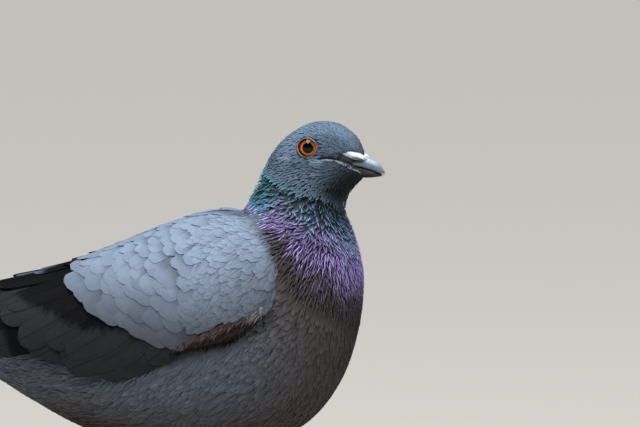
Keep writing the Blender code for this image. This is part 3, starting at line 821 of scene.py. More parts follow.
def eyeDistance(points, side):
    centre, axis, _ = eyeFrame(side)
    away = points - centre
    height = (away * axis).sum(-1)
    return np.where(height > 0, np.sqrt(np.maximum((away**2).sum(-1) - height**2, 0)), 99.0)


def wingEdges(place):  # upper and lower edge of the folded wing, in degrees round the body
    return blendRows(wing["sections"], place + wing["bodyShift"])[..., 7], hemAt(place + wing["bodyShift"])


def underWing(place, angle):
    upper, lower = wingEdges(place)
    return (angle > upper + 9) & (angle < lower - 9) & (place > 2.6) & (place < 8.9)


def tuckUnderWing(u, v):  # how far a body feather's tip goes down near the wing's edges
    place, degrees = placeAt(u), degreesAt(v)
    upper, lower = wingEdges(place)
    return fade(degrees - lower, 0, 7) * ease(degrees - upper, -9, -2) * hump(place, -0.8, 1.0, 6.0, 7.5)


def layRegion(style, keep, gap=1.0, rootShade=0.25, scale=None, bright=1.0):
    u, v = scatter(bodySurface, style["gap"] * gap + 0 * keep, keep)
    base = bodySurface.at(u, v)[0]
    tipU, tipV = slide(bodySurface, u, v, style["length"])
    tips = bodySurface.at(tipU, tipV)[0]
    clear = np.minimum.reduce([eyeDistance(p, s) for p in (base, (base + tips) / 2, tips) for s in (1, -1)])
    good = (clear > eye["bare"] - 0.2) & (tipU > 2) & (u < bodySurface.size[0] - 3)
    good &= insideDepth(*straightAt(u, v), face["bare"]) < 0.1
    tuck = tuckUnderWing(u, v)
    good &= (tuck < 0.3) | (style["width"] > 1)
    u, v, base, tuck = u[good], v[good], base[good], tuck[good]
    angle = math.radians(style["curl"]) * waver(base, 4.0, 3)
    outline = 0.25 + 0.75 * hump(degreesAt(v), 20, 55, 140, 168)
    heave = style["heave"] * outline * waver(base, 3.2, 5) - 1.9 * tuck
    group = layFeathers(bodySurface, u, v, style, scale(u) if scale else 1.0, heave, angle)
    flicker = np.broadcast_to(chance.uniform(0, 1, len(u))[:, None], group["grown"].shape)
    # painted shade: each feather darker towards its root, where the feathers over it shade it
    shade = 1.05 - rootShade + rootShade * ease(group["grown"], *style["shadeFrom"])
    return group, bodyTint(group["u"], group["v"], flicker) * shade[..., None] * bright


def makeBodyCoat():
    rows, columns = bodySurface.size
    place = placeAt(np.arange(rows))[:, None] + np.zeros((1, columns))
    angle = degreesAt(np.arange(columns))[None] + np.zeros((rows, 1))
    low, top = neckEdges(angle)
    border = top - 0.1 + 0.12 * waver(bodySurface.points, 3.0, 7)
    neck = (place > low - 0.5) & (place <= border)
    trunk = (place <= low - 0.5) & ~underWing(place, angle)
    front = trunk & (place > 6.6)
    rear = place < np.interp(angle, (70, 90), (3.0, 0.6))
    lower = trunk & (place <= 6.6) & (angle > 75) & ~rear
    left = (np.arange(columns) < columns / 2)[None]
    headGap = 1.25 - 0.4 * ease(place, 14, 18)
    neckGap = (1 - 0.28 * ease(place, 12, 13.2)) * (1 - 0.35 * ease(place, 10.6, 11.4) * ease(angle, 130, 150))
    middle = low + (top - low) * 0.36

    def neckScale(u):
        return 1 - 0.34 * ease(placeAt(u), 11.8, 13.2)

    def cover(name, laid, material=downMaterial, slot="body_plumage"):
        coatPiece(name, [laid], material, slot)

    breastHairs = layRegion(hairCoat, front | neck & (place < low + 0.8), 1.0, 0.0, bright=1.2)
    crown = layRegion(headCoat, (place > border) & (place < 18.75), headGap, 0.35)
    cover("head_feathers", crown, headMaterial, "neck_plumage")
    hackles = layRegion(neckCoat, neck & (place > middle), neckGap, 0.92, neckScale)
    collar = layRegion(collarCoat, neck & (place <= middle + 0.3), 1.0, 0.75)
    cover("neck_hackles", hackles, neckMaterial, "neck_plumage")
    cover("neck_collar", collar, neckMaterial, "neck_plumage")
    cover("breast_feathers", layRegion(bodyCoat, front, 0.86))
    for side, half in (("left", lower & left), ("right", lower & ~left)):
        cover(f"belly_feathers_{side}", layRegion(bodyCoat, half))
        cover(f"belly_barbs_{side}", layRegion(hairCoat, half, 1.0, 0.0, bright=1.2))
    back = trunk & (place <= 6.6) & (angle <= 75) & ~rear
    cover("back_feathers", layRegion(bodyCoat, back, 1.2), covertMaterial)
    cover("rump_feathers", layRegion(rumpCoat, trunk & rear), covertMaterial)
    cover("breast_barbs", breastHairs)


makeBodyCoat()


# Wing feathers: rows of coverts from the bar up to the shoulder, then the long quills
covert = {
    "end": ((-108, -49.5), (-113, -54.5)),  # the upper end of the edge, next to the tertials
    "edge": ((-116.5, -61.5), (-110.4, -68.1), (-105, -71.8), (-100.4, -75.1), (-94.6, -78.3), (-85, -82),
             (-79.2, -85.1), (-74.4, -87.2), (-69.6, -88.5), (-65, -88), (-61, -85.5), (-57, -83), (-51, -80.8),
             (-45, -79.3), (-40, -77.5), (-34, -75.3), (-29, -73.3), (-23.5, -71), (-19, -68.5)),
    "edgeUsed": -9, "spacing": 8, "rowGap": 8.2, "rows": 4,
    "lesserFrom": ((-80, -60, -45, -30), (30, 25, 11, 4)), "lesserGap": 4.4,
    "style": {**vane, "grid": (12, 11), "length": 21, "width": 14.5, "tip": 0.92, "round": 0.27, "broad": 0.35,
              "sink": 0.9, "camber": 0.16, "thick": 0.16, "stray": 5, "ruffle": 0.03, "fringe": 0.45, "bend": 0.9},
    "last": {"round": 0.2, "skew": 0.1, "vary": 0.015, "stray": 2.5, "width": 16},  # the row along the bar
    "lesser": {**vane, "grid": (8, 7), "length": 13, "width": 9.6, "tip": 0.85, "round": 0.26, "broad": 0.35,
               "sink": 0.8, "thick": 0.13, "ruffle": 0.03, "fringe": 0.4, "bend": 0.9, "vary": 0.14},
    "frontGap": 2.6, "frontFrom": -49, "frontEdge": ((-52, -44, -20, -14), (2, 0.5, 0.5, -2)), "hairGap": 1.7,
    "front": {**vane, "grid": (7, 7), "length": 9, "width": 5.6, "tip": 0.7, "sink": 0.5, "camber": 0.03,
              "thick": 0.09, "ruffle": 0.02, "fringe": 0.7},
}
scapular = {
    "gap": 5.8, "reach": 15,
    "style": {**vane, "grid": (12, 9), "length": 19, "width": 9.5, "tip": 0.75, "round": 0.3, "broad": 0.35,
              "sink": 1, "rise": 0.35, "camber": 0.12, "thick": 0.16, "stray": 6, "ruffle": 0.1, "fringe": 0.6},
}
greater = {
    "tips": ((-152, -68), (-148, -75), (-142, -82), (-134, -88.5), (-125, -93.5), (-115.5, -97.5), (-107, -101.5),
             (-98, -104.8), (-89, -102.5), (-80, -99.5), (-70, -96.4), (-60, -93)),
    "lifts": (0.8, -0.45),  # of the tips, first and last
    "style": {**vane, "grid": (22, 9), "length": 43, "width": 16, "root": 0.6, "tip": 0.88, "round": 0.22,
              "broad": 0.25, "rise": -0.15, "camber": 0.12, "thick": 0.3, "stray": 2, "ruffle": 0.05,
              "fringe": 0.4, "bend": 1.3},
}
secondary = {
    "tips": ((-176, -77), (-171, -82), (-165, -87), (-157, -91.5), (-148, -95), (-138, -97), (-127, -98),
             (-114, -98)),
    "bar": (9, 22),  # the second bar, measured back from a feather's tip
    "lifts": (0.45, -0.25),  # of the tips, first and last
    "style": {**vane, "grid": (26, 9), "length": 58, "width": 17, "root": 0.6, "tip": 0.85, "round": 0.16,
              "broad": 0.2, "sink": 2, "rise": -0.55, "camber": 0.12, "thick": 0.3, "stray": 1.5, "fringe": 0.3,
              "bend": 1.2},
}
primary = {
    "tips": ((-170, -87.5), (-181, -89.5), (-192, -92), (-202, -94.5), (-210, -96.5), (-215.5, -98.5)),
    "lifts": (0.5, -0.5),  # of the tips, first and last
    "style": {**vane, "grid": (30, 9), "length": 78, "width": 13, "root": 0.7, "tip": 0.55, "round": 0.1,
              "broad": 0.2, "sink": 2, "rise": -0.7, "camber": 0.15, "thick": 0.3, "stray": 0.6, "fringe": 0.15,
              "bend": 1.1},
}
tertial = {  # the tips here are x and degrees round the section
    "tips": ((-109, 17), (-121, 15), (-133, 15.5), (-145, 18), (-156, 22), (-166, 27)),
    "lifts": (0.1, -0.4),  # of the tips, first and last
    "style": {**vane, "grid": (24, 9), "length": 46, "width": 19, "tip": 0.86, "round": 0.2, "broad": 0.25,
              "thick": 0.3, "stray": 1.5, "fringe": 0.4, "bend": 1.5},
}
wingFold = {  # the brownish feathers under the wing's front edge
    "rows": (  # shade, share of the way down; the first row is a painted shadow line under the fold, and the darker rows lower down are partly the feathers' own brown, partly painted shade
        (0.03, 1.15), (0.3, 1), (0.5, 0.75), (0.35, 0.5), (1.35, 0.28), (0.9, 0.1)),
    "top": ((-62.8, -91.2), (-58.3, -89.6), (-49.9, -85.3), (-45.9, -83.2), (-40.1, -80.6), (-34.3, -77.8),
            (-29.6, -75.8), (-23.5, -73.4), (-18.5, -70.6)),
    "foot": ((-62.8, -93.4), (-58, -92.2), (-50, -90.4), (-44.4, -88.9), (-40, -87.8), (-36.1, -86.4),
             (-30, -83.6), (-24, -80.6), (-18, -76.4)),
    "style": {**vane, "grid": (6, 3), "length": 5, "width": 1.3, "root": 0.6, "tip": 0.4, "round": 0.4,
              "sink": 1.2, "rise": -0.35, "stray": 9, "ruffle": 0.15, "fringe": 0.6},
}
barLine = ((-230, -54), (-165, -62), (-146, -67), (-132, -71.5), (-121.3, -75.3), (-115.7, -77.4), (-111.2, -80.1),
           (-104.1, -82.3), (-99.6, -83), (-91.8, -82.7), (-70, -80), (-40, -70))


def alongLine(line, spacing):
    line = np.array(line, float)
    run = np.concatenate([[0], np.cumsum(np.linalg.norm(np.diff(line, axis=0), axis=1))])
    stops = np.arange(spacing / 2, run[-1], spacing)
    return np.stack([np.interp(stops, run, line[:, i]) for i in (0, 1)], -1)


def rootsFrom(tips, length, surface=wingSurface):
    return slide(surface, *surface.nearest(*np.array(tips, float).T), -length)


def sideView(group):  # x and z under each point of a wing group
    return np.moveaxis(wingSurface.at(group["u"], group["v"])[0][..., [0, 2]], -1, 0)


def rimShade(group, depth, start):
    return (1 - depth * ease(np.abs(group["across"]), start, 1.0))[..., None]


def fromTip(group, style):  # millimetres
    return (1 - group["grown"]) * style["length"]


def beyondBar(x, z):  # how far behind the bar's rear edge a side view point is
    line = np.array(barLine, float)
    return (np.interp(x, line[:, 0], line[:, 1]) - z) * 0.8


def layCovertRow(row):  # rows are counted up from the wing bar
    style = covert["style"] if row else {**covert["style"], **covert["last"]}
    shrink = 1 - 0.07 * row
    tips = alongLine(covert["end"] + covert["edge"][: covert["edgeUsed"]], covert["spacing"] / 2)[row % 2 :: 2]
    u, v = slide(wingSurface, *wingSurface.nearest(*tips.T), -row * covert["rowGap"] * (1 - 0.03 * row))
    u, v = slide(wingSurface, u, v, -style["length"] * shrink)
    rows, columns = wingSurface.size
    good = (u < rows * 0.93) & (v > 2) & (v < columns - 22)
    return layFeathers(wingSurface, u[good], v[good], style, shrink, 0.02 * row)


def makeCovertRows():
    groups = []
    for row in range(covert["rows"]):
        group = layCovertRow(row)
        groups.append((group, covertTint(group)))
    rows, columns = wingSurface.size
    x, z = wingSurface.points[..., 0], wingSurface.points[..., 2]
    above = lineDistance(x, z, covert["edge"])
    above = above * np.where(z > np.interp(x, *np.array(covert["edge"]).T), 1, -1)
    degrees = np.linspace(*wing["span"], columns)[None, :]
    section = spreadRows(wing["sections"], rows)
    upper, lower = section[..., 7], section[..., 8]
    start = covert["frontFrom"] + 3.0 * waver(wingSurface.points, 12.0, 9)
    rear = np.interp(z, (-62, -50), (-115, -107))
    lesser = (degrees > upper - 2) & (degrees < lower - 4) & (x < start + 4) & (x > rear + 11)
    lesser = lesser & (above > np.interp(x, *covert["lesserFrom"]))
    front = (degrees > upper - 4) & (degrees < lower + 2) & (x > start)
    front = front & (above > np.interp(x, *covert["frontEdge"])) & (np.arange(rows)[:, None] < rows * 0.965)
    over = (degrees > upper - 12) & (degrees < upper + scapular["reach"]) & (x < -30) & (x > rear + 14)
    for style, keep, gap, lift, varied, bright in (
        (covert["lesser"], lesser, covert["lesserGap"], 0.08, 1.0, 1.0),
        (covert["front"], front, covert["frontGap"], 0.05, 0.4, 1.0),
        (hairCoat, front, covert["hairGap"], 0.03, 1.0, 1.06),
        (scapular["style"], over, scapular["gap"], 0.0, 1.0, 1.0),
    ):
        group = layFeathers(wingSurface, *scatter(wingSurface, gap + 0 * x, keep), style, 1.0, lift)
        groups.append((group, covertTint(group, varied) * bright))
    return groups


def covertTint(group, varied=1.0):
    x, z = sideView(group)
    grown = group["grown"]
    # painted shade: the coverts darker towards the wing's lower side, where less light falls
    tint = mix(paint["covert"], paint["shadedCovert"], ease(-z - 0.10 * x, 52, 98))
    edge = ease(group["u"] / wingSurface.size[0], 0.80, 0.96)
    tint = mix(tint, paint["shoulder"], np.maximum(0.6 * ease(x, -50, -20) * ease(-z, 34, 64), 0.62 * edge))
    flicker = 1 + varied * chance.uniform(-0.12, 0.07, (len(grown), 1))
    # darker rims and tips near the wing's front edge: partly the feathers' own dark edging, partly painted shadow
    # under their edges
    rim = 1 - edge * (0.16 * ease(np.abs(group["across"]), 0.9, 1.0) + 0.5 * ease(grown, 0.965, 1.0))
    # painted shade: darker towards each feather's root, under the feather that overlaps it
    shade = 1 - 0.5 * varied * fade(grown, 0.35, 0.8)
    return tint * (flicker * shade * rim)[..., None]


def layQuills(quill, roots=None):  # long feathers, laid from their tips
    u, v = roots or rootsFrom(quill["tips"], quill["style"]["length"])
    group = layFeathers(wingSurface, u, v, quill["style"], 1.0, np.linspace(*quill["lifts"], len(u)))
    return group, *sideView(group), fromTip(group, quill["style"])


def makeGreaterCoverts():
    group, x, z, _ = layQuills(greater)
    grey = ease(beyondBar(x, z) + chance.normal(0, 0.5, x.shape), -0.8, 1.2)
    # the greater coverts' grey is darker than their own grey: partly painted shade on the wing's lower side
    return group, mix(paint["bar"], paint["greater"] * 1.15, grey) * rimShade(group, 0.25, 0.75)


def makeSecondaries():
    group, _, _, back = layQuills(secondary)
    near, far = secondary["bar"]
    tint = mix(paint["secondary"], paint["bar"], hump(back, near - 1.5, near + 1, far - 1, far + 2.5))
    # painted shade: darker towards the root, where the coverts cover it
    return group, tint * rimShade(group, 0.22, 0.75) * (0.8 + 0.2 * group["grown"])[..., None]


def makePrimaries():
    group, x, _, _ = layQuills(primary)
    tint = mix(paint["primary"] * 1.35, paint["primary"] * 0.8, group["grown"])
    tint = mix(tint, paint["bar"], ease(x, -128, -122))
    return group, tint * (1 + 0.35 * ease(-group["across"], 0.7, 0.98))[..., None]


def makeTertials():
    x, degrees = np.array(tertial["tips"], float).T
    start, end = wing["span"]
    v = (degrees - start) / (end - start) * (wingSurface.size[1] - 1)
    u = np.array([np.argmin(np.abs(wingSurface.points[:, int(b), 0] - a)) for a, b in zip(x, v)], float)
    roots = tuple(slide(wingSurface, u, v, -tertial["style"]["length"]))
    group, x, _, back = layQuills(tertial, roots)
    grey = fade(x + chance.normal(0, 0.4, x.shape), -131, -126)
    tint = mix(paint["bar"], paint["tertial"], grey)
    tint = mix(tint, paint["bar"], 0.85 * grey * hump(back, 7, 10, 17, 21))
    return group, tint * rimShade(group, 0.3, 0.8)


def makeWingFold():
    groups = []
    style = wingFold["style"]
    top, foot = (np.array(wingFold[name], float) for name in ("top", "foot"))
    for row, (shade, down) in enumerate(wingFold["rows"]):
        u, v = rootsFrom(alongLine(top + (foot - top) * down, 0.6), style["length"])
        group = layFeathers(wingSurface, u, v, style, 1.0, 0.12 * row, math.radians(12))
        front = ease(wingSurface.at(u, v)[0][:, 0], -26, -17) * chance.uniform(0.1, 1, len(u)) * (row > 2)
        tint = mix(paint["brown"] * shade, paint["pale"], front)[:, None, :]
        tint = tint * chance.uniform(0.35, 1.15, (len(u), 1, 1))
        groups.append((group, np.broadcast_to(tint, group["points"].shape)))
    return groups


def makeWings():
    coverts = makeCovertRows()
    quills, long, fold = [makeGreaterCoverts(), makeSecondaries()], [makePrimaries()], makeWingFold()
    quills.append(makeTertials())
    for side in ("right", "left"):
        for name, groups, material, slot, nodes in (
            ("coverts", coverts, covertMaterial, "wing_plumage", [f"wing_{side}_coverts"]),
            ("wing_fold", fold, downMaterial, "wing_plumage", ()),
            ("secondaries", quills, flightMaterial, "flight_plumage", [f"wing_{side}_secondaries"]),
            ("primaries", long, flightMaterial, "flight_plumage", [f"wing_{side}_primaries"]),
        ):
            coatPiece(f"{name}_{side}", groups, material, slot, nodes, side == "left")


makeWings()


# Tail: twelve feathers, the middle pair on top
tail = {
    "sections": (  # x, top, half width
        (-128, -77, 10), (-140, -79, 12), (-160, -84, 16), (-180, -89, 19.5), (-205, -94.5, 22.5),
        (-223, -98.6, 24), (-229.5, -100, 24)),
    "pairs": 6, "spread": 1.25, "sag": 3, "step": 0.42, "band": (4, 27),
    "style": {**vane, "grid": (34, 9), "length": 98.5, "width": 12.5, "root": 0.7, "tip": 0.93, "round": 0.035,
              "broad": 0.3, "sink": 0.3, "rise": -0.3, "camber": 0.3, "thick": 0.3, "stray": 0.3, "vary": 0,
              "fringe": 0.25},
}


def makeTailSurface():
    rows, columns = 120, 90
    section = spreadRows(tail["sections"], rows)
    across = np.linspace(-tail["spread"], tail["spread"], columns)[None, :]
    y = across * section[..., 2]
    points = np.stack([section[..., 0] + 0 * y, y, section[..., 1] - tail["sag"] * across**2], -1)
    return Surface(points, unit(np.gradient(points, axis=0)), False, (0.01, 0.85, 0.98, 0.07), -1)


def makeTail():
    surface = makeTailSurface()
    order = np.arange(tail["pairs"])
    across = (order + 0.45) / tail["pairs"] * 0.88
    near, far = tail["band"]
    groups = []
    for side in (1, -1):
        v = (side * across / tail["spread"] + 1) / 2 * (surface.size[1] - 1)
        lift = -tail["step"] * order - (0.12 if side < 0 else 0)
        group = layFeathers(surface, 0 * v + 8.0, v, tail["style"], 1.0, lift)
        group["points"][..., 2] -= (tail["step"] * order)[:, None] * 0.6
        back = fromTip(group, tail["style"])
        tint = mix(paint["tail"], paint["bar"], hump(back, near - 1, near + 1.5, far - 3, far + 3))
        outer = (order == order[-1])[:, None] * ease(side * group["across"], 0.1, 0.3) * ease(back, far - 3, far)
        # painted shade: each tail feather darker towards its root, where the feathers above cover it
        groups.append((group, mix(tint, paint["outerTail"], outer) * (0.85 + 0.15 * group["grown"])[..., None]))
    coatPiece("tail_feathers", groups, flightMaterial, "flight_plumage", ["tail"])


makeTail()


# Skin: body, wings' flesh, thighs, lids, legs and toes, joined into one closed mesh
skin = {  # how far under the feathers' roots it lies
    "depth": 2.1, "neckDepth": 2.3, "headDepth": 0.75, "faceDepth": 0.45, "bareDepth": 1.9, "wingDepth": 2,
    "throatRise": 1, "socketDepth": 1.3, "columns": 160,
}


def ringFaces(rows, columns):  # two triangles for each step of the rings
    i = np.arange(rows - 1)[:, None] * columns
    j = np.arange(columns)[None, :]
    k = (j + 1) % columns
    quads = np.stack([i + j, i + k, i + columns + k, i + columns + j], -1).reshape(-1, 4)
    return np.concatenate([quads[:, [0, 1, 2]], quads[:, [0, 2, 3]]])


def outwards(points, faces, middle=0.0):
    a, b, c = (points[faces[:, i]] - middle for i in range(3))
    return faces if (np.cross(a, b) * c).sum() > 0 else faces[:, ::-1]


def closedTube(rings):  # rings of points, closed at both ends by a fan
    rows, columns = rings.shape[:2]
    points = np.concatenate([rings.reshape(-1, 3), rings[:1].mean(1), rings[-1:].mean(1)])
    j = np.arange(columns)
    k = (j + 1) % columns
    first = np.stack([k, j, 0 * j + rows * columns], -1)
    last = np.stack([(rows - 1) * columns + j, (rows - 1) * columns + k, 0 * j + rows * columns + 1], -1)
    return points, outwards(points, np.concatenate([ringFaces(rows, columns), first, last]))


def skinDepth(place, angle):
    depth = skin["depth"] + (skin["neckDepth"] - skin["depth"]) * ease(place, 8.5, 10)
    depth = depth + (skin["headDepth"] - skin["neckDepth"]) * ease(place, 12.6, 14.2)
    depth = depth - skin["throatRise"] * ease(-np.cos(angle), 0.72, 0.92) * hump(place, 10.6, 11.4, 13.0, 14.0)
    return depth + (skin["faceDepth"] - skin["headDepth"]) * ease(place, 16.5, 18.5)


def makeBodySkin():
    place = np.concatenate([np.linspace(0, 13, 150), np.linspace(13, 19, 150)[1:]])[:, None]
    angle = roundTurn(skin["columns"])[None, :]
    flat = bodyPoints(place, angle)
    bare = ease(insideDepth(flat[..., 0], flat[..., 2], face["bare"]), -0.3, 0.9)
    rings = bodyPoints(place, angle, skinDepth(place, angle) + skin["bareDepth"] * bare)
    rings = spin(rings, ease(place, body["turnFrom"], body["turnTo"]) * body["turn"])
    for side in (1, -1):
        centre, axis, _ = eyeFrame(side)
        height = ((rings - centre) * axis).sum(-1)
        distance = eyeDistance(rings, side)
        ball = np.sqrt(np.maximum(eye["radius"] ** 2 - distance**2, 0)) - skin["socketDepth"]
        sunk = (np.minimum(ball, height) - height) * fade(distance, 4.1, 4.9)
        rings = rings + axis * np.where(distance < 5, sunk, 0)[..., None]
    return closedTube(rings)


def makeWingSkin(side):
    place = np.linspace(2.4, 11.9, 90)
    section = blendRows(wing["sections"], place)[:, None, :]
    upper, lower = np.radians(section[..., 7] + 4), np.radians(hemAt(place) - 4)[:, None]
    angle = upper + (lower - upper) * np.linspace(0, 1, 50)[None, :]
    outside = section[..., 9] * wingEdgeShare(section, angle) - skin["wingDepth"]
    outer, inner = (sectionPoints(section, side * angle, out) for out in (outside, -3.2))
    return closedTube(np.concatenate([outer, inner[:, ::-1]], 1))


def limbPath(path, side, step=0.05):
    rows = [(x, side * (leg["side"] + y), leg["floor"] + h, r) for x, y, h, r in path]
    return blendRows(rows, np.arange(0, len(rows) - 1 + step / 2, step))


def tubeRings(path, columns=24):
    centre, radius = path[:, :3], path[:, 3:]
    forward = unit(np.gradient(centre, axis=0))
    sideways = unit(np.cross(forward, [0.13, 0.05, 1.0] if abs(forward[:, 2]).mean() < 0.7 else [1.0, 0.1, 0]))
    up = np.cross(sideways, forward)
    turn = roundTurn(columns)[None, :, None]
    around = np.cos(turn) * sideways[:, None] + np.sin(turn) * up[:, None]
    return centre[:, None] + around * radius[:, None]


def ballRings(centre, size, rows=16, columns=32):
    tilt = np.linspace(0.04, math.pi - 0.04, rows)[:, None]
    turn = roundTurn(columns)[None, :]
    shape = np.stack([np.sin(tilt) * np.cos(turn), np.sin(tilt) * np.sin(turn), np.cos(tilt) + 0 * turn], -1)
    return np.array(centre) + shape * np.array(size)


def toePath(name, side):
    degrees, length, base, end = leg["toes"][name]
    heading = math.radians(degrees)
    along = np.array([math.cos(heading), side * math.sin(heading), 0.0])
    hub = np.array([leg["pad"][0], side * leg["side"], leg["floor"]])
    t = np.linspace(0, 1, 40)[:, None]
    joints = 1 + 0.10 * np.cos(t * 3 * 2 * math.pi) * ease(t, 0.1, 0.3)
    radius = (base + (end - base) * t**1.3) * joints
    return np.concatenate([hub + along * length * t + np.array([0, 0, 0.75]) * radius, radius], 1), along


# Thigh feathers, down to a short hem over the shank
thighCoat = {**vane, "gap": 1.9, "grid": (6, 5), "length": 6.5, "width": 2.8, "root": 0.4, "tip": 0.5, "round": 0.4,
             "broad": 0.45, "sink": 0.9, "rise": 0.15, "ruffle": 0.08, "fringe": 0.8}


def makeThighFeathers():
    path = leg["thigh"] + ((-73.4, 0, 33.0, 3.3), (-73.6, 0, 29.0, 3.0))
    rings = tubeRings(limbPath(path, -1, 0.04), 60)
    surface = Surface(rings, unit(np.gradient(rings, axis=0)), True, (0.01, 0.94, 0.98, 0.05))
    rows = surface.size[0]
    u, v = scatter(surface, thighCoat["gap"] + np.zeros(surface.size), np.arange(rows)[:, None] < rows * 0.74)
    size = 1 - 0.45 * ease(u / rows, 0.35, 0.74)
    group = layFeathers(surface, u, v, thighCoat, size)
    # tone that differs at random, times painted shade darker towards each feather's root
    shade = (0.8 + 0.25 * chance.uniform(0, 1, (len(u), 1))) * (0.75 + 0.3 * group["grown"])
    tint = mix(paint["belly"], paint["vent"], 0.35) * shade[..., None]
    for side in ("right", "left"):
        coatPiece(f"thigh_feathers_{side}", [(group, tint)], downMaterial, "body_plumage", (), side == "left")


makeThighFeathers()


# The other parts of the skin, and the skin itself
def makeLegSkin(side):
    x, y, h = leg["pad"]
    pieces = [tubeRings(limbPath(leg["shank"], side))]
    pieces.append(ballRings((x, side * (leg["side"] + y), leg["floor"] + h), leg["padSize"]))
    pieces += [tubeRings(toePath(toe, side)[0]) for toe in leg["toes"]]
    points, faces, base = [], [], 0
    for p, f in map(closedTube, pieces):
        points.append(p)
        faces.append(f + base)
        base += len(p)
    guide = newObject("leg", meshFrom("leg", np.concatenate(points), np.concatenate(faces), sharp=0), skinMaterial)
    remesh = guide.modifiers.new("remesh", "REMESH")
    remesh.mode = "VOXEL"
    remesh.voxel_size = leg["voxel"] * mm
    guide.modifiers.new("smooth", "SMOOTH").iterations = 3
    mesh = applied(guide)
    place, normal = readVertices(mesh.vertices, "co"), readVertices(mesh.vertex_normals, "vector")
    place = place + normal * scuteHeight(place / mm - tableOrigin, normal, side)[:, None] * mm
    place[:, 2] = np.maximum(place[:, 2], 0)
    mesh.vertices.foreach_set("co", place.ravel())
    mesh.update()
    return mesh


def scuteHeight(points, normal, side):  # plates down the shank's front, ridges across the toes
    height = points[:, 2] - leg["floor"]
    shank = ease(height, 5, 8)
    rise = shank * ease(normal[:, 0], 0.1, 0.6) * (leg["scuteRise"] * ((height / leg["scuteGap"]) % 1) - 0.10)
    away = np.linalg.norm(points[:, :2] - [leg["pad"][0], side * leg["side"]], axis=1)
    ridge = (1 - (away / 1.7) % 1) * ease(normal[:, 2], 0.1, 0.6)
    return rise + (1 - shank) * (leg["scuteRise"] * ridge - 0.08) * ease(away, 4, 6)


def applied(obj):  # its mesh after the modifiers, in place of the object
    graph = bpy.context.evaluated_depsgraph_get()
    mesh = bpy.data.meshes.new_from_object(obj.evaluated_get(graph))
    bpy.data.objects.remove(obj)
    return mesh


def lidRings(side):
    centre, axis, rear = eyeFrame(side)
    up = np.cross(axis, rear) * side
    up = up * np.sign(up[2])
    count = eye["lidSteps"]
    turn = roundTurn(count)
    cosine, sine = np.cos(turn), np.sin(turn)
    around = cosine[:, None] * rear + sine[:, None] * up
    corner = np.clip(cosine, 0, 1) ** 14 + 0.5 * np.clip(-cosine, 0, 1) ** 14
    bead = 0.05 * np.sin(turn * 23) + chance.normal(0, 0.02, count)
    inner = 4.06 + 0.30 * corner - 0.08 * np.abs(sine) ** 3
    outer = 4.80 + 0.70 * corner + bead
    away = bodySurface.points[300:400].reshape(-1, 3) - centre  # the head's part of the surface
    high = away @ axis
    flat = np.stack([away @ rear, away @ up], -1)
    hidden = np.where(high > 0, 0, 99)
    wanted = np.stack([cosine, sine], -1) * outer[:, None]
    rims = np.array([high[np.argmin(((flat - want) ** 2).sum(-1) + hidden)] for want in wanted])
    rims = np.convolve(np.concatenate([rims[-4:], rims, rims[:4]]), np.ones(9) / 9, "valid")
    ball = np.sqrt(eye["radius"] ** 2 - inner**2)
    rings = []
    for across, rise, share in eye["lidProfile"]:
        radius = inner + (outer - inner) * across
        level = ball * (1 - share) + rims * share + rise
        rings.append(centre + around * radius[:, None] + axis * level[:, None])
    rings.append(centre + around * ((inner + outer) / 2)[:, None] + axis * (ball - 2.6)[:, None])
    return np.array(rings)


def ringTorus(rings):  # profile rings joined end to end
    loops, columns = rings.shape[:2]
    points = rings.reshape(-1, 3)
    return points, outwards(points, ringFaces(loops + 1, columns) % (loops * columns), points.mean(0))


def facePlace(x, z, side):  # the surface's place and normal at a side view point of the face
    where = bodySurface.straight
    miss = (where[..., 0] - x) ** 2 + (where[..., 2] - z) ** 2 + np.where(where[..., 1] * side > 0, 0, 99)
    place, normal, *_ = bodySurface.at(*np.array(np.unravel_index([np.argmin(miss)], miss.shape), float))
    return place[0], normal[0]


def makeGapeFold(side):
    stops = alongLine(face["fold"], 1.2)
    width = 0.52 * np.minimum(1, np.minimum(np.arange(len(stops)) + 1, len(stops) - np.arange(len(stops))) / 3)
    found = [facePlace(x, z, side) for x, z in stops]
    path = np.array([[*(place - normal * 0.34), radius] for (place, normal), radius in zip(found, width)])
    path[1:-1, :3] = (path[:-2, :3] + 2 * path[1:-1, :3] + path[2:, :3]) / 4
    return closedTube(tubeRings(blendRows(path, np.arange(0, len(path) - 0.99, 0.25)), 16))


skinMaterial = bareMaterial(
    "skin", 0.6, (700.0, 3.0), (0.88, 1.10), (0.25, 0.0002), cells=1800.0, Specular_IOR_Level=0.35
)


def nearestSteps(points):  # the body surface's grid steps beside the points, three steps at a time
    grid = bodySurface.points[::3, ::3]
    tree = treeOf(grid.reshape(-1, 3))
    found = np.array([tree.find(p)[1] for p in points])
    return (found // grid.shape[1]) * 3.0, (found % grid.shape[1]) * 3.0


def eyeTint(tint, points, side):  # the bare ring round the eye
    centre, _, rear = eyeFrame(side)
    distance = eyeDistance(points, side)
    back = ((points - centre) @ rear) / np.maximum(distance, 0.1)
    pink = ease(back, 0.86, 0.97) + ease(-back, 0.93, 0.98)
    rim = hump(distance, 4.22, 4.34, 4.62, 4.86) * (0.75 + 0.25 * waver(points, 1.3, 17))
    bare = mix(mix(paint["lid"], paint["lidCorner"], pink), paint["lidRim"], np.clip(rim, 0, 1))
    return mix(tint, bare, fade(distance, 4.95, 5.3))


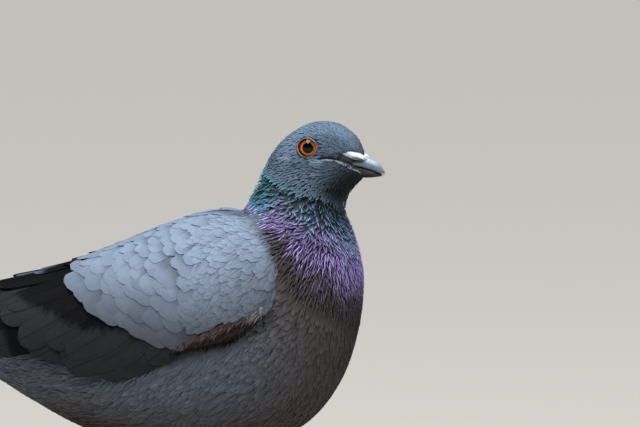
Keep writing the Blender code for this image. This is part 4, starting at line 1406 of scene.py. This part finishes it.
def skinTint(points):
    u, v = nearestSteps(points)
    # painted shade: the skin far darker than the plumage, darkest in the neck, so the gaps between the feathers
    # read as shade
    gapShade = 0.35 - 0.31 * hump(placeAt(u), 8.8, 9.8, 13.2, 14.0)
    tint = bodyTint(u, v, np.full(len(points), 0.5)) * gapShade[:, None]
    # painted shade: black where the skin shows in the gap between the tertials and the coverts
    quills = ease(-points[:, 0], 110, 112) * ease(np.abs(points[:, 1]), 14, 17) * ease(points[:, 2], -104, -98)
    tint = mix(tint, paint["bar"], quills)
    x, _, z = spin(points, -body["turn"]).T
    onFace = (x > 4) & (z > -16)
    spotted = np.maximum(ease(waver(points, 1.6, 13), -0.9, 0.3), ease(-x, -13, -9))
    pale = mix(paint["dark"] * 2, paint["pale"] * 0.45, spotted)
    # painted shadow in the crease between the lores and the cheek
    tint = mix(tint, paint["dark"] * 0.3, onFace * fade(lineDistance(x, z, face["crease"]), 0.5, 0.8))
    tint = mix(tint, pale, onFace * fade(lineDistance(x, z, face["fold"]), 0.42, 0.6))
    for side in (1, -1):
        tint = eyeTint(tint, points, side)
    height = points[:, 2] - leg["floor"]
    low = fade(height, 33, 36)[:, None]
    red = paint["leg"] * (0.85 + 0.25 * ((height / leg["scuteGap"]) % 1))[:, None]
    return tint * (1 - low) + red * low


def makeSkin():
    main = newObject("skin", meshFrom("skin", *makeBodySkin(), sharp=0), skinMaterial)
    extras = []
    for side in (1, -1):
        thigh = tubeRings(limbPath(leg["thigh"], side) * (1, 1, 1, leg["thighSkin"]), 40)
        for made in (makeWingSkin(side), closedTube(thigh), ringTorus(lidRings(side)), makeGapeFold(side)):
            extras.append(meshFrom("extra", *made, sharp=0))
        extras.append(makeLegSkin(side))
    for mesh in extras:
        other = newObject("extra", mesh, skinMaterial)
        join = main.modifiers.new("join", "BOOLEAN")
        join.operation = "UNION"
        join.solver = "MANIFOLD"
        join.object = other
        mesh = applied(main)
        bpy.data.objects.remove(other)
        main = newObject("skin", mesh, skinMaterial)
    mesh = main.data
    mesh.name = "skin"
    paintMesh(mesh, skinTint(readVertices(mesh.vertices, "co") / mm - tableOrigin))
    mesh.polygons.foreach_set("use_smooth", np.ones(len(mesh.polygons), bool))
    flesh = ["head", "neck", "trunk"]
    for side in ("left", "right"):
        flesh += [f"{side}_thigh", f"{side}_shank"] + [f"{side}_toe_{toe}" for toe in leg["toes"]]
    handOver(main, "body_plumage", *flesh)
    print("skin:", len(mesh.polygons), "faces")


makeSkin()


# Eyes
sides = ((1, "left"), (-1, "right"))


def makeEyeMaterial():
    constants = {"Coat_Weight": 0.5, "Coat_Roughness": 0.02, "Specular_IOR_Level": 0.0}
    material, graph, shader = newMaterial("eye", 0.35, **constants)
    iris = graph.add("UVMap", uv_map="irisMap").outputs[0]
    centred = graph.vector("SUBTRACT", iris, eye["pupil"])
    # painted shade: the iris darker towards its top, away from the lit side, as under the lid's shadow
    low = graph.vector("DOT_PRODUCT", centred, eye["lit"], "Value")
    shade = graph.spread(low, -0.24, 0.10, 0.20, 1.0)
    fibre = graph.math("SUBTRACT", graph.noise(centred, 60.0, 3.0), 0.5)
    radius = graph.times(graph.vector("LENGTH", centred, output="Value"), eye["mapSize"] / eye["iris"])
    ramp = graph.add("ValToRGB", {0: graph.math("ADD", radius, graph.times(fibre, 0.035))})
    elements = ramp.color_ramp.elements
    while len(elements) < len(eye["rings"]):
        elements.new(0.5)
    for element, (where, colour) in zip(elements, eye["rings"]):
        element.position = where
        element.color = (*linear(colour), 1)
    graph.join(graph.scale(ramp.outputs[0], shade), shader.inputs["Base Color"])
    return material


def makeEyes():
    material = makeEyeMaterial()
    for side, name in sides:
        centre, axis, rear = eyeFrame(side)
        up = np.cross(rear, axis)
        tilt = np.linspace(0.0, math.pi, 97)[1:-1][:, None]
        turn = roundTurn(96)[None, :]
        bulge = eye["bulge"] * fade(np.sin(tilt) * eye["radius"], 2.2, 4.2) * (tilt < 1.5)
        parts = (np.sin(tilt) * np.cos(turn), np.sin(tilt) * np.sin(turn), np.cos(tilt) + 0 * turn)
        shape = sum(part[..., None] * way for part, way in zip(parts, (rear, up, axis)))
        points, faces = closedTube(centre + shape * (eye["radius"] - 0.03 + bulge)[..., None])
        away = points - centre
        places = np.stack([away @ rear, away @ up * -side], -1) / eye["mapSize"] + 0.5
        places[away @ axis < 0] = 0.95
        mesh = meshFrom(f"eyeball_{name}", points, faces, None, {"irisMap": places}, 0)
        handOver(newObject(f"eyeball_{name}", mesh, material), "eye", f"eye_{name}")


makeEyes()


# Bill and ceres
bill = {
    "upper": (
        (12, -4.5, 11, -8.6, 3.4, -0.8, 2.1), (18, -4.2, 17.5, -8.8, 3.5, -0.8, 2.1),
        (23.5, -4.3, 23, -9.6, 3.1, -0.8, 2.1), (27.2, -5.7, 26.5, -10.5, 2.7, -0.8, 2),
        (30.1, -7.2, 29.3, -11.3, 2.3, -0.8, 2), (32.2, -9.4, 31.1, -12.1, 1.8, -0.7, 2),
        (33.4, -11.3, 32.4, -13, 1.1, -0.4, 2), (33.3, -13.3, 32.8, -13.8, 0.4, 0, 2)),
    "lower": (
        (11, -9, 12, -12.5, 3.1, 0.8, 2.1), (17.5, -9.2, 18, -14, 3.2, 0.8, 2.1),
        (23, -10, 23.5, -14.5, 2.8, 0.8, 2.1), (26.5, -10.9, 27.5, -14.3, 2.4, 0.8, 2),
        (29.3, -11.7, 30.3, -13.9, 1.9, 0.7, 2), (31.5, -12.6, 32, -13.6, 0.9, 0.3, 2)),
    "cere": (19.2, 2.8, -4), "cereSize": (6.5, 2.5, 1.75), "noseDown": 15, "splay": -9,
    "nostrilAndShadow": ((13.6, -5), (18.4, -5.2), (23.5, -5.9), (25.2, -6.7), (23, -7.5), (18, -7.7), (14.8, -7)),
}


def hornMaterial(name, roughness, scale, bump, coat):
    constants = {"Coat_Weight": coat, "Coat_Roughness": 0.25}
    return bareMaterial(name, roughness, (scale, 5.0), (0.84, 1.14), (bump, 0.0003), **constants)


def finishPart(name, points, faces, tint, material, slot, node):
    piece = newObject(name, meshFrom(name, points, faces, tint, None, 0), material)
    handOver(piece, slot, node)


def upperBillTint(x, z, rows):
    rise = z - np.interp(x, rows[:, 2], rows[:, 3])
    # the upper bill lighter towards its ridge: partly its own grey, partly painted highlight from the light above;
    # darker towards the mouth edge
    return layColours(paint["billEdge"], (
        ("billSide", ease(rise, 0.3, 1.4)),
        ("billTop", ease(rise, 2.2, 4.6)),
        ("billTip", ease(x, 32.2, 33.2) * fade(z, -12.8, -11.8)),
        # the nostril slit with painted shadow under the overhanging cere
        ("nostrilAndShadow", ease(insideDepth(x, z, bill["nostrilAndShadow"]), -0.2, 0.25)),
    ))


def lowerBillTint(x, z, rows, points):
    strip = ease(z - np.interp(x, rows[:, 0], rows[:, 1]), -1.5, -0.6) * fade(x, 28.8, 30.6)
    strip = strip * (0.75 + 0.25 * waver(points, 1.8, 19))
    # the lower bill nearly black: its own dark grey with painted shade under the upper bill
    return mix(paint["lowerBill"], paint["lowerBillSide"], np.clip(strip, 0, 1))


def makeBill():
    horn = hornMaterial("bill horn", 0.42, 900.0, 0.25, 0.2)
    for part in ("upper", "lower"):
        rows = np.array(bill[part])
        points, faces = closedTube(sectionPoints(spreadRows(rows, 120), roundTurn(64)[None, :]))
        x, _, z = points.T
        tint = upperBillTint(x, z, rows) if part == "upper" else lowerBillTint(x, z, rows, points)
        finishPart(f"horn_{part}", spin(points, body["turn"]), faces, tint, horn, "bill", f"bill_{part}")


def makeCeres():
    material = hornMaterial("cere", 0.7, 1400.0, 0.5, 0.0)
    x, y, z = bill["cere"]
    for side, name in sides:
        points, faces = closedTube(ballRings((0, 0, 0), (1, 1, 1), 60, 96)[:, :, [2, 0, 1]])
        outward = unit(points)
        lump = 0.05 * np.sin(points @ [9.0, 4.0, 6.0]) + 0.04 * np.sin(points @ [-5.0, 11.0, 8.0] + 1)
        slit = np.exp(-(((points[:, 2] + 0.62) / 0.22) ** 2)) * hump(points[:, 0], -0.1, 0.35, 0.75, 0.92)
        slit = slit * ease(points[:, 1] * side, 0.1, 0.5)
        points = points * (1 + (lump * 0.5)[:, None]) - outward * (0.30 * slit)[:, None]
        # the slit: a shallow groove with painted shadow in it; the cere darker on its underside: painted shade
        shares = (("cereSlitAndShadow", np.clip(slit * 1.6, 0, 1)), ("cereUnderShade", fade(outward[:, 2], -0.95, -0.55) * 0.6))
        tint = layColours(paint["cere"], shares)
        splay = Matrix.Rotation(math.radians(bill["splay"]) * side, 3, "Z")
        matrix = splay @ Matrix.Rotation(math.radians(bill["noseDown"]), 3, "Y")
        points = (points * bill["cereSize"]) @ np.array(matrix).T + (x, side * y, z)
        finishPart(f"cere_lobe_{name}", spin(points, body["turn"]), faces, tint, material, "cere", f"cere_{name}")


def makeClaws():
    material = hornMaterial("claw", 0.4, 1200.0, 0.3, 0.2)
    for side, name in sides:
        for toe, (*_, end) in leg["toes"].items():
            path, along = toePath(toe, side)
            tip = path[-1, :3]
            stops = []
            for share, rise, radius in (*leg["clawStops"], (1.0, -0.85 * end * 0.75 + 0.35, 0.22)):
                stops.append((*(tip + along * (leg["claw"] * share - 0.5) + np.array([0, 0, rise])), radius))
            rings = tubeRings(blendRows(stops, np.linspace(0, 3, 24)), 20)
            rings[..., 2] = np.maximum(rings[..., 2], leg["floor"])
            points, faces = closedTube(rings)
            tint = mix(paint["claw"], paint["clawTip"], ease(np.linalg.norm(points - tip, axis=1), 1, 6))
            finishPart(f"{name}_talon_{toe}", points, faces, tint, material, "claw", f"{name}_claw_{toe}")


makeBill()
makeCeres()
makeClaws()


# Floor, lights and camera
stage = {
    "floor": (190, 188, 184),
    "horizon": (194, 192, 187),
    "reach": 30,  # of the floor, in metres
    "drop": 0.00002,
    "fill": ((0.85, 0.88, 0.92, 1), 0.1),
    "lights": (  # kind, place, aim, power, colour, size
        ("overhead", "SUN", (-0.05, -0.2, 1.45), (0, 0, 0.1), 3.2, (1, 0.985, 0.965), 36),
        ("high front", "AREA", (0.03, -0.85, 1.13), (0.1, 0, 0.17), 9, (1, 0.99, 0.98), (0.36, 0.42)),
        ("right", "AREA", (1.5, -0.8, 0.9), (0, 0, 0.1), 2, (0.96, 0.97, 1), (0.6, 0.8)),
    ),
    "lens": 195,
    "cameraPlace": (0.3172, -1.5883, 0.297),
    "cameraTurn": (84.901, 0, 7.818),  # degrees
}


def makeFloor():
    material, _, shader = newMaterial("studio floor", 0.9)
    shader.inputs["Base Color"].default_value = (*linear(stage["floor"]), 1)
    turn, reach = roundTurn(64), stage["reach"]
    mesh = bpy.data.meshes.new("studio_floor")
    points = [(reach * math.cos(a), reach * math.sin(a), -stage["drop"]) for a in turn]
    mesh.from_pydata(points, [], [tuple(range(64))])
    newObject("studio_floor", mesh, material)


def inScene(name, data, place, turn):
    made = bpy.data.objects.new(name, data)
    made.location, made.rotation_euler = place, turn
    bpy.context.scene.collection.objects.link(made)
    return made


def addLight(name, kind, place, aim, power, colour, size):
    light = bpy.data.lights.new(name, kind)
    light.energy = power
    light.color = colour
    if kind == "SUN":
        light.angle = math.radians(size)
    else:
        light.shape = "RECTANGLE"
        light.size, light.size_y = size
    inScene(name, light, place, (Vector(aim) - Vector(place)).to_track_quat("-Z", "Y").to_euler())


def makeWorld():
    world = bpy.data.worlds.new("studio")
    world.use_nodes = True
    graph, nodes = Graph(world.node_tree), world.node_tree.nodes
    light = nodes["Background"]
    light.inputs[0].default_value, light.inputs[1].default_value = stage["fill"]
    seen = graph.add("Background", {0: (*linear(stage["horizon"]), 1)})
    rays = graph.add("LightPath").outputs["Is Camera Ray"]
    blend = graph.add("MixShader", {0: rays, 1: light.outputs[0], 2: seen.outputs[0]})
    graph.join(blend.outputs[0], nodes["World Output"].inputs[0])
    bpy.context.scene.world = world


def makeCamera():
    camera = bpy.data.cameras.new("camera")
    camera.lens, camera.sensor_width = stage["lens"], 36
    turn = tuple(map(math.radians, stage["cameraTurn"]))
    bpy.context.scene.camera = inScene("camera", camera, stage["cameraPlace"], turn)
    bpy.context.scene.view_settings.view_transform = "Standard"


makeFloor()
for settings in stage["lights"]:
    addLight(*settings)
makeWorld()
makeCamera()
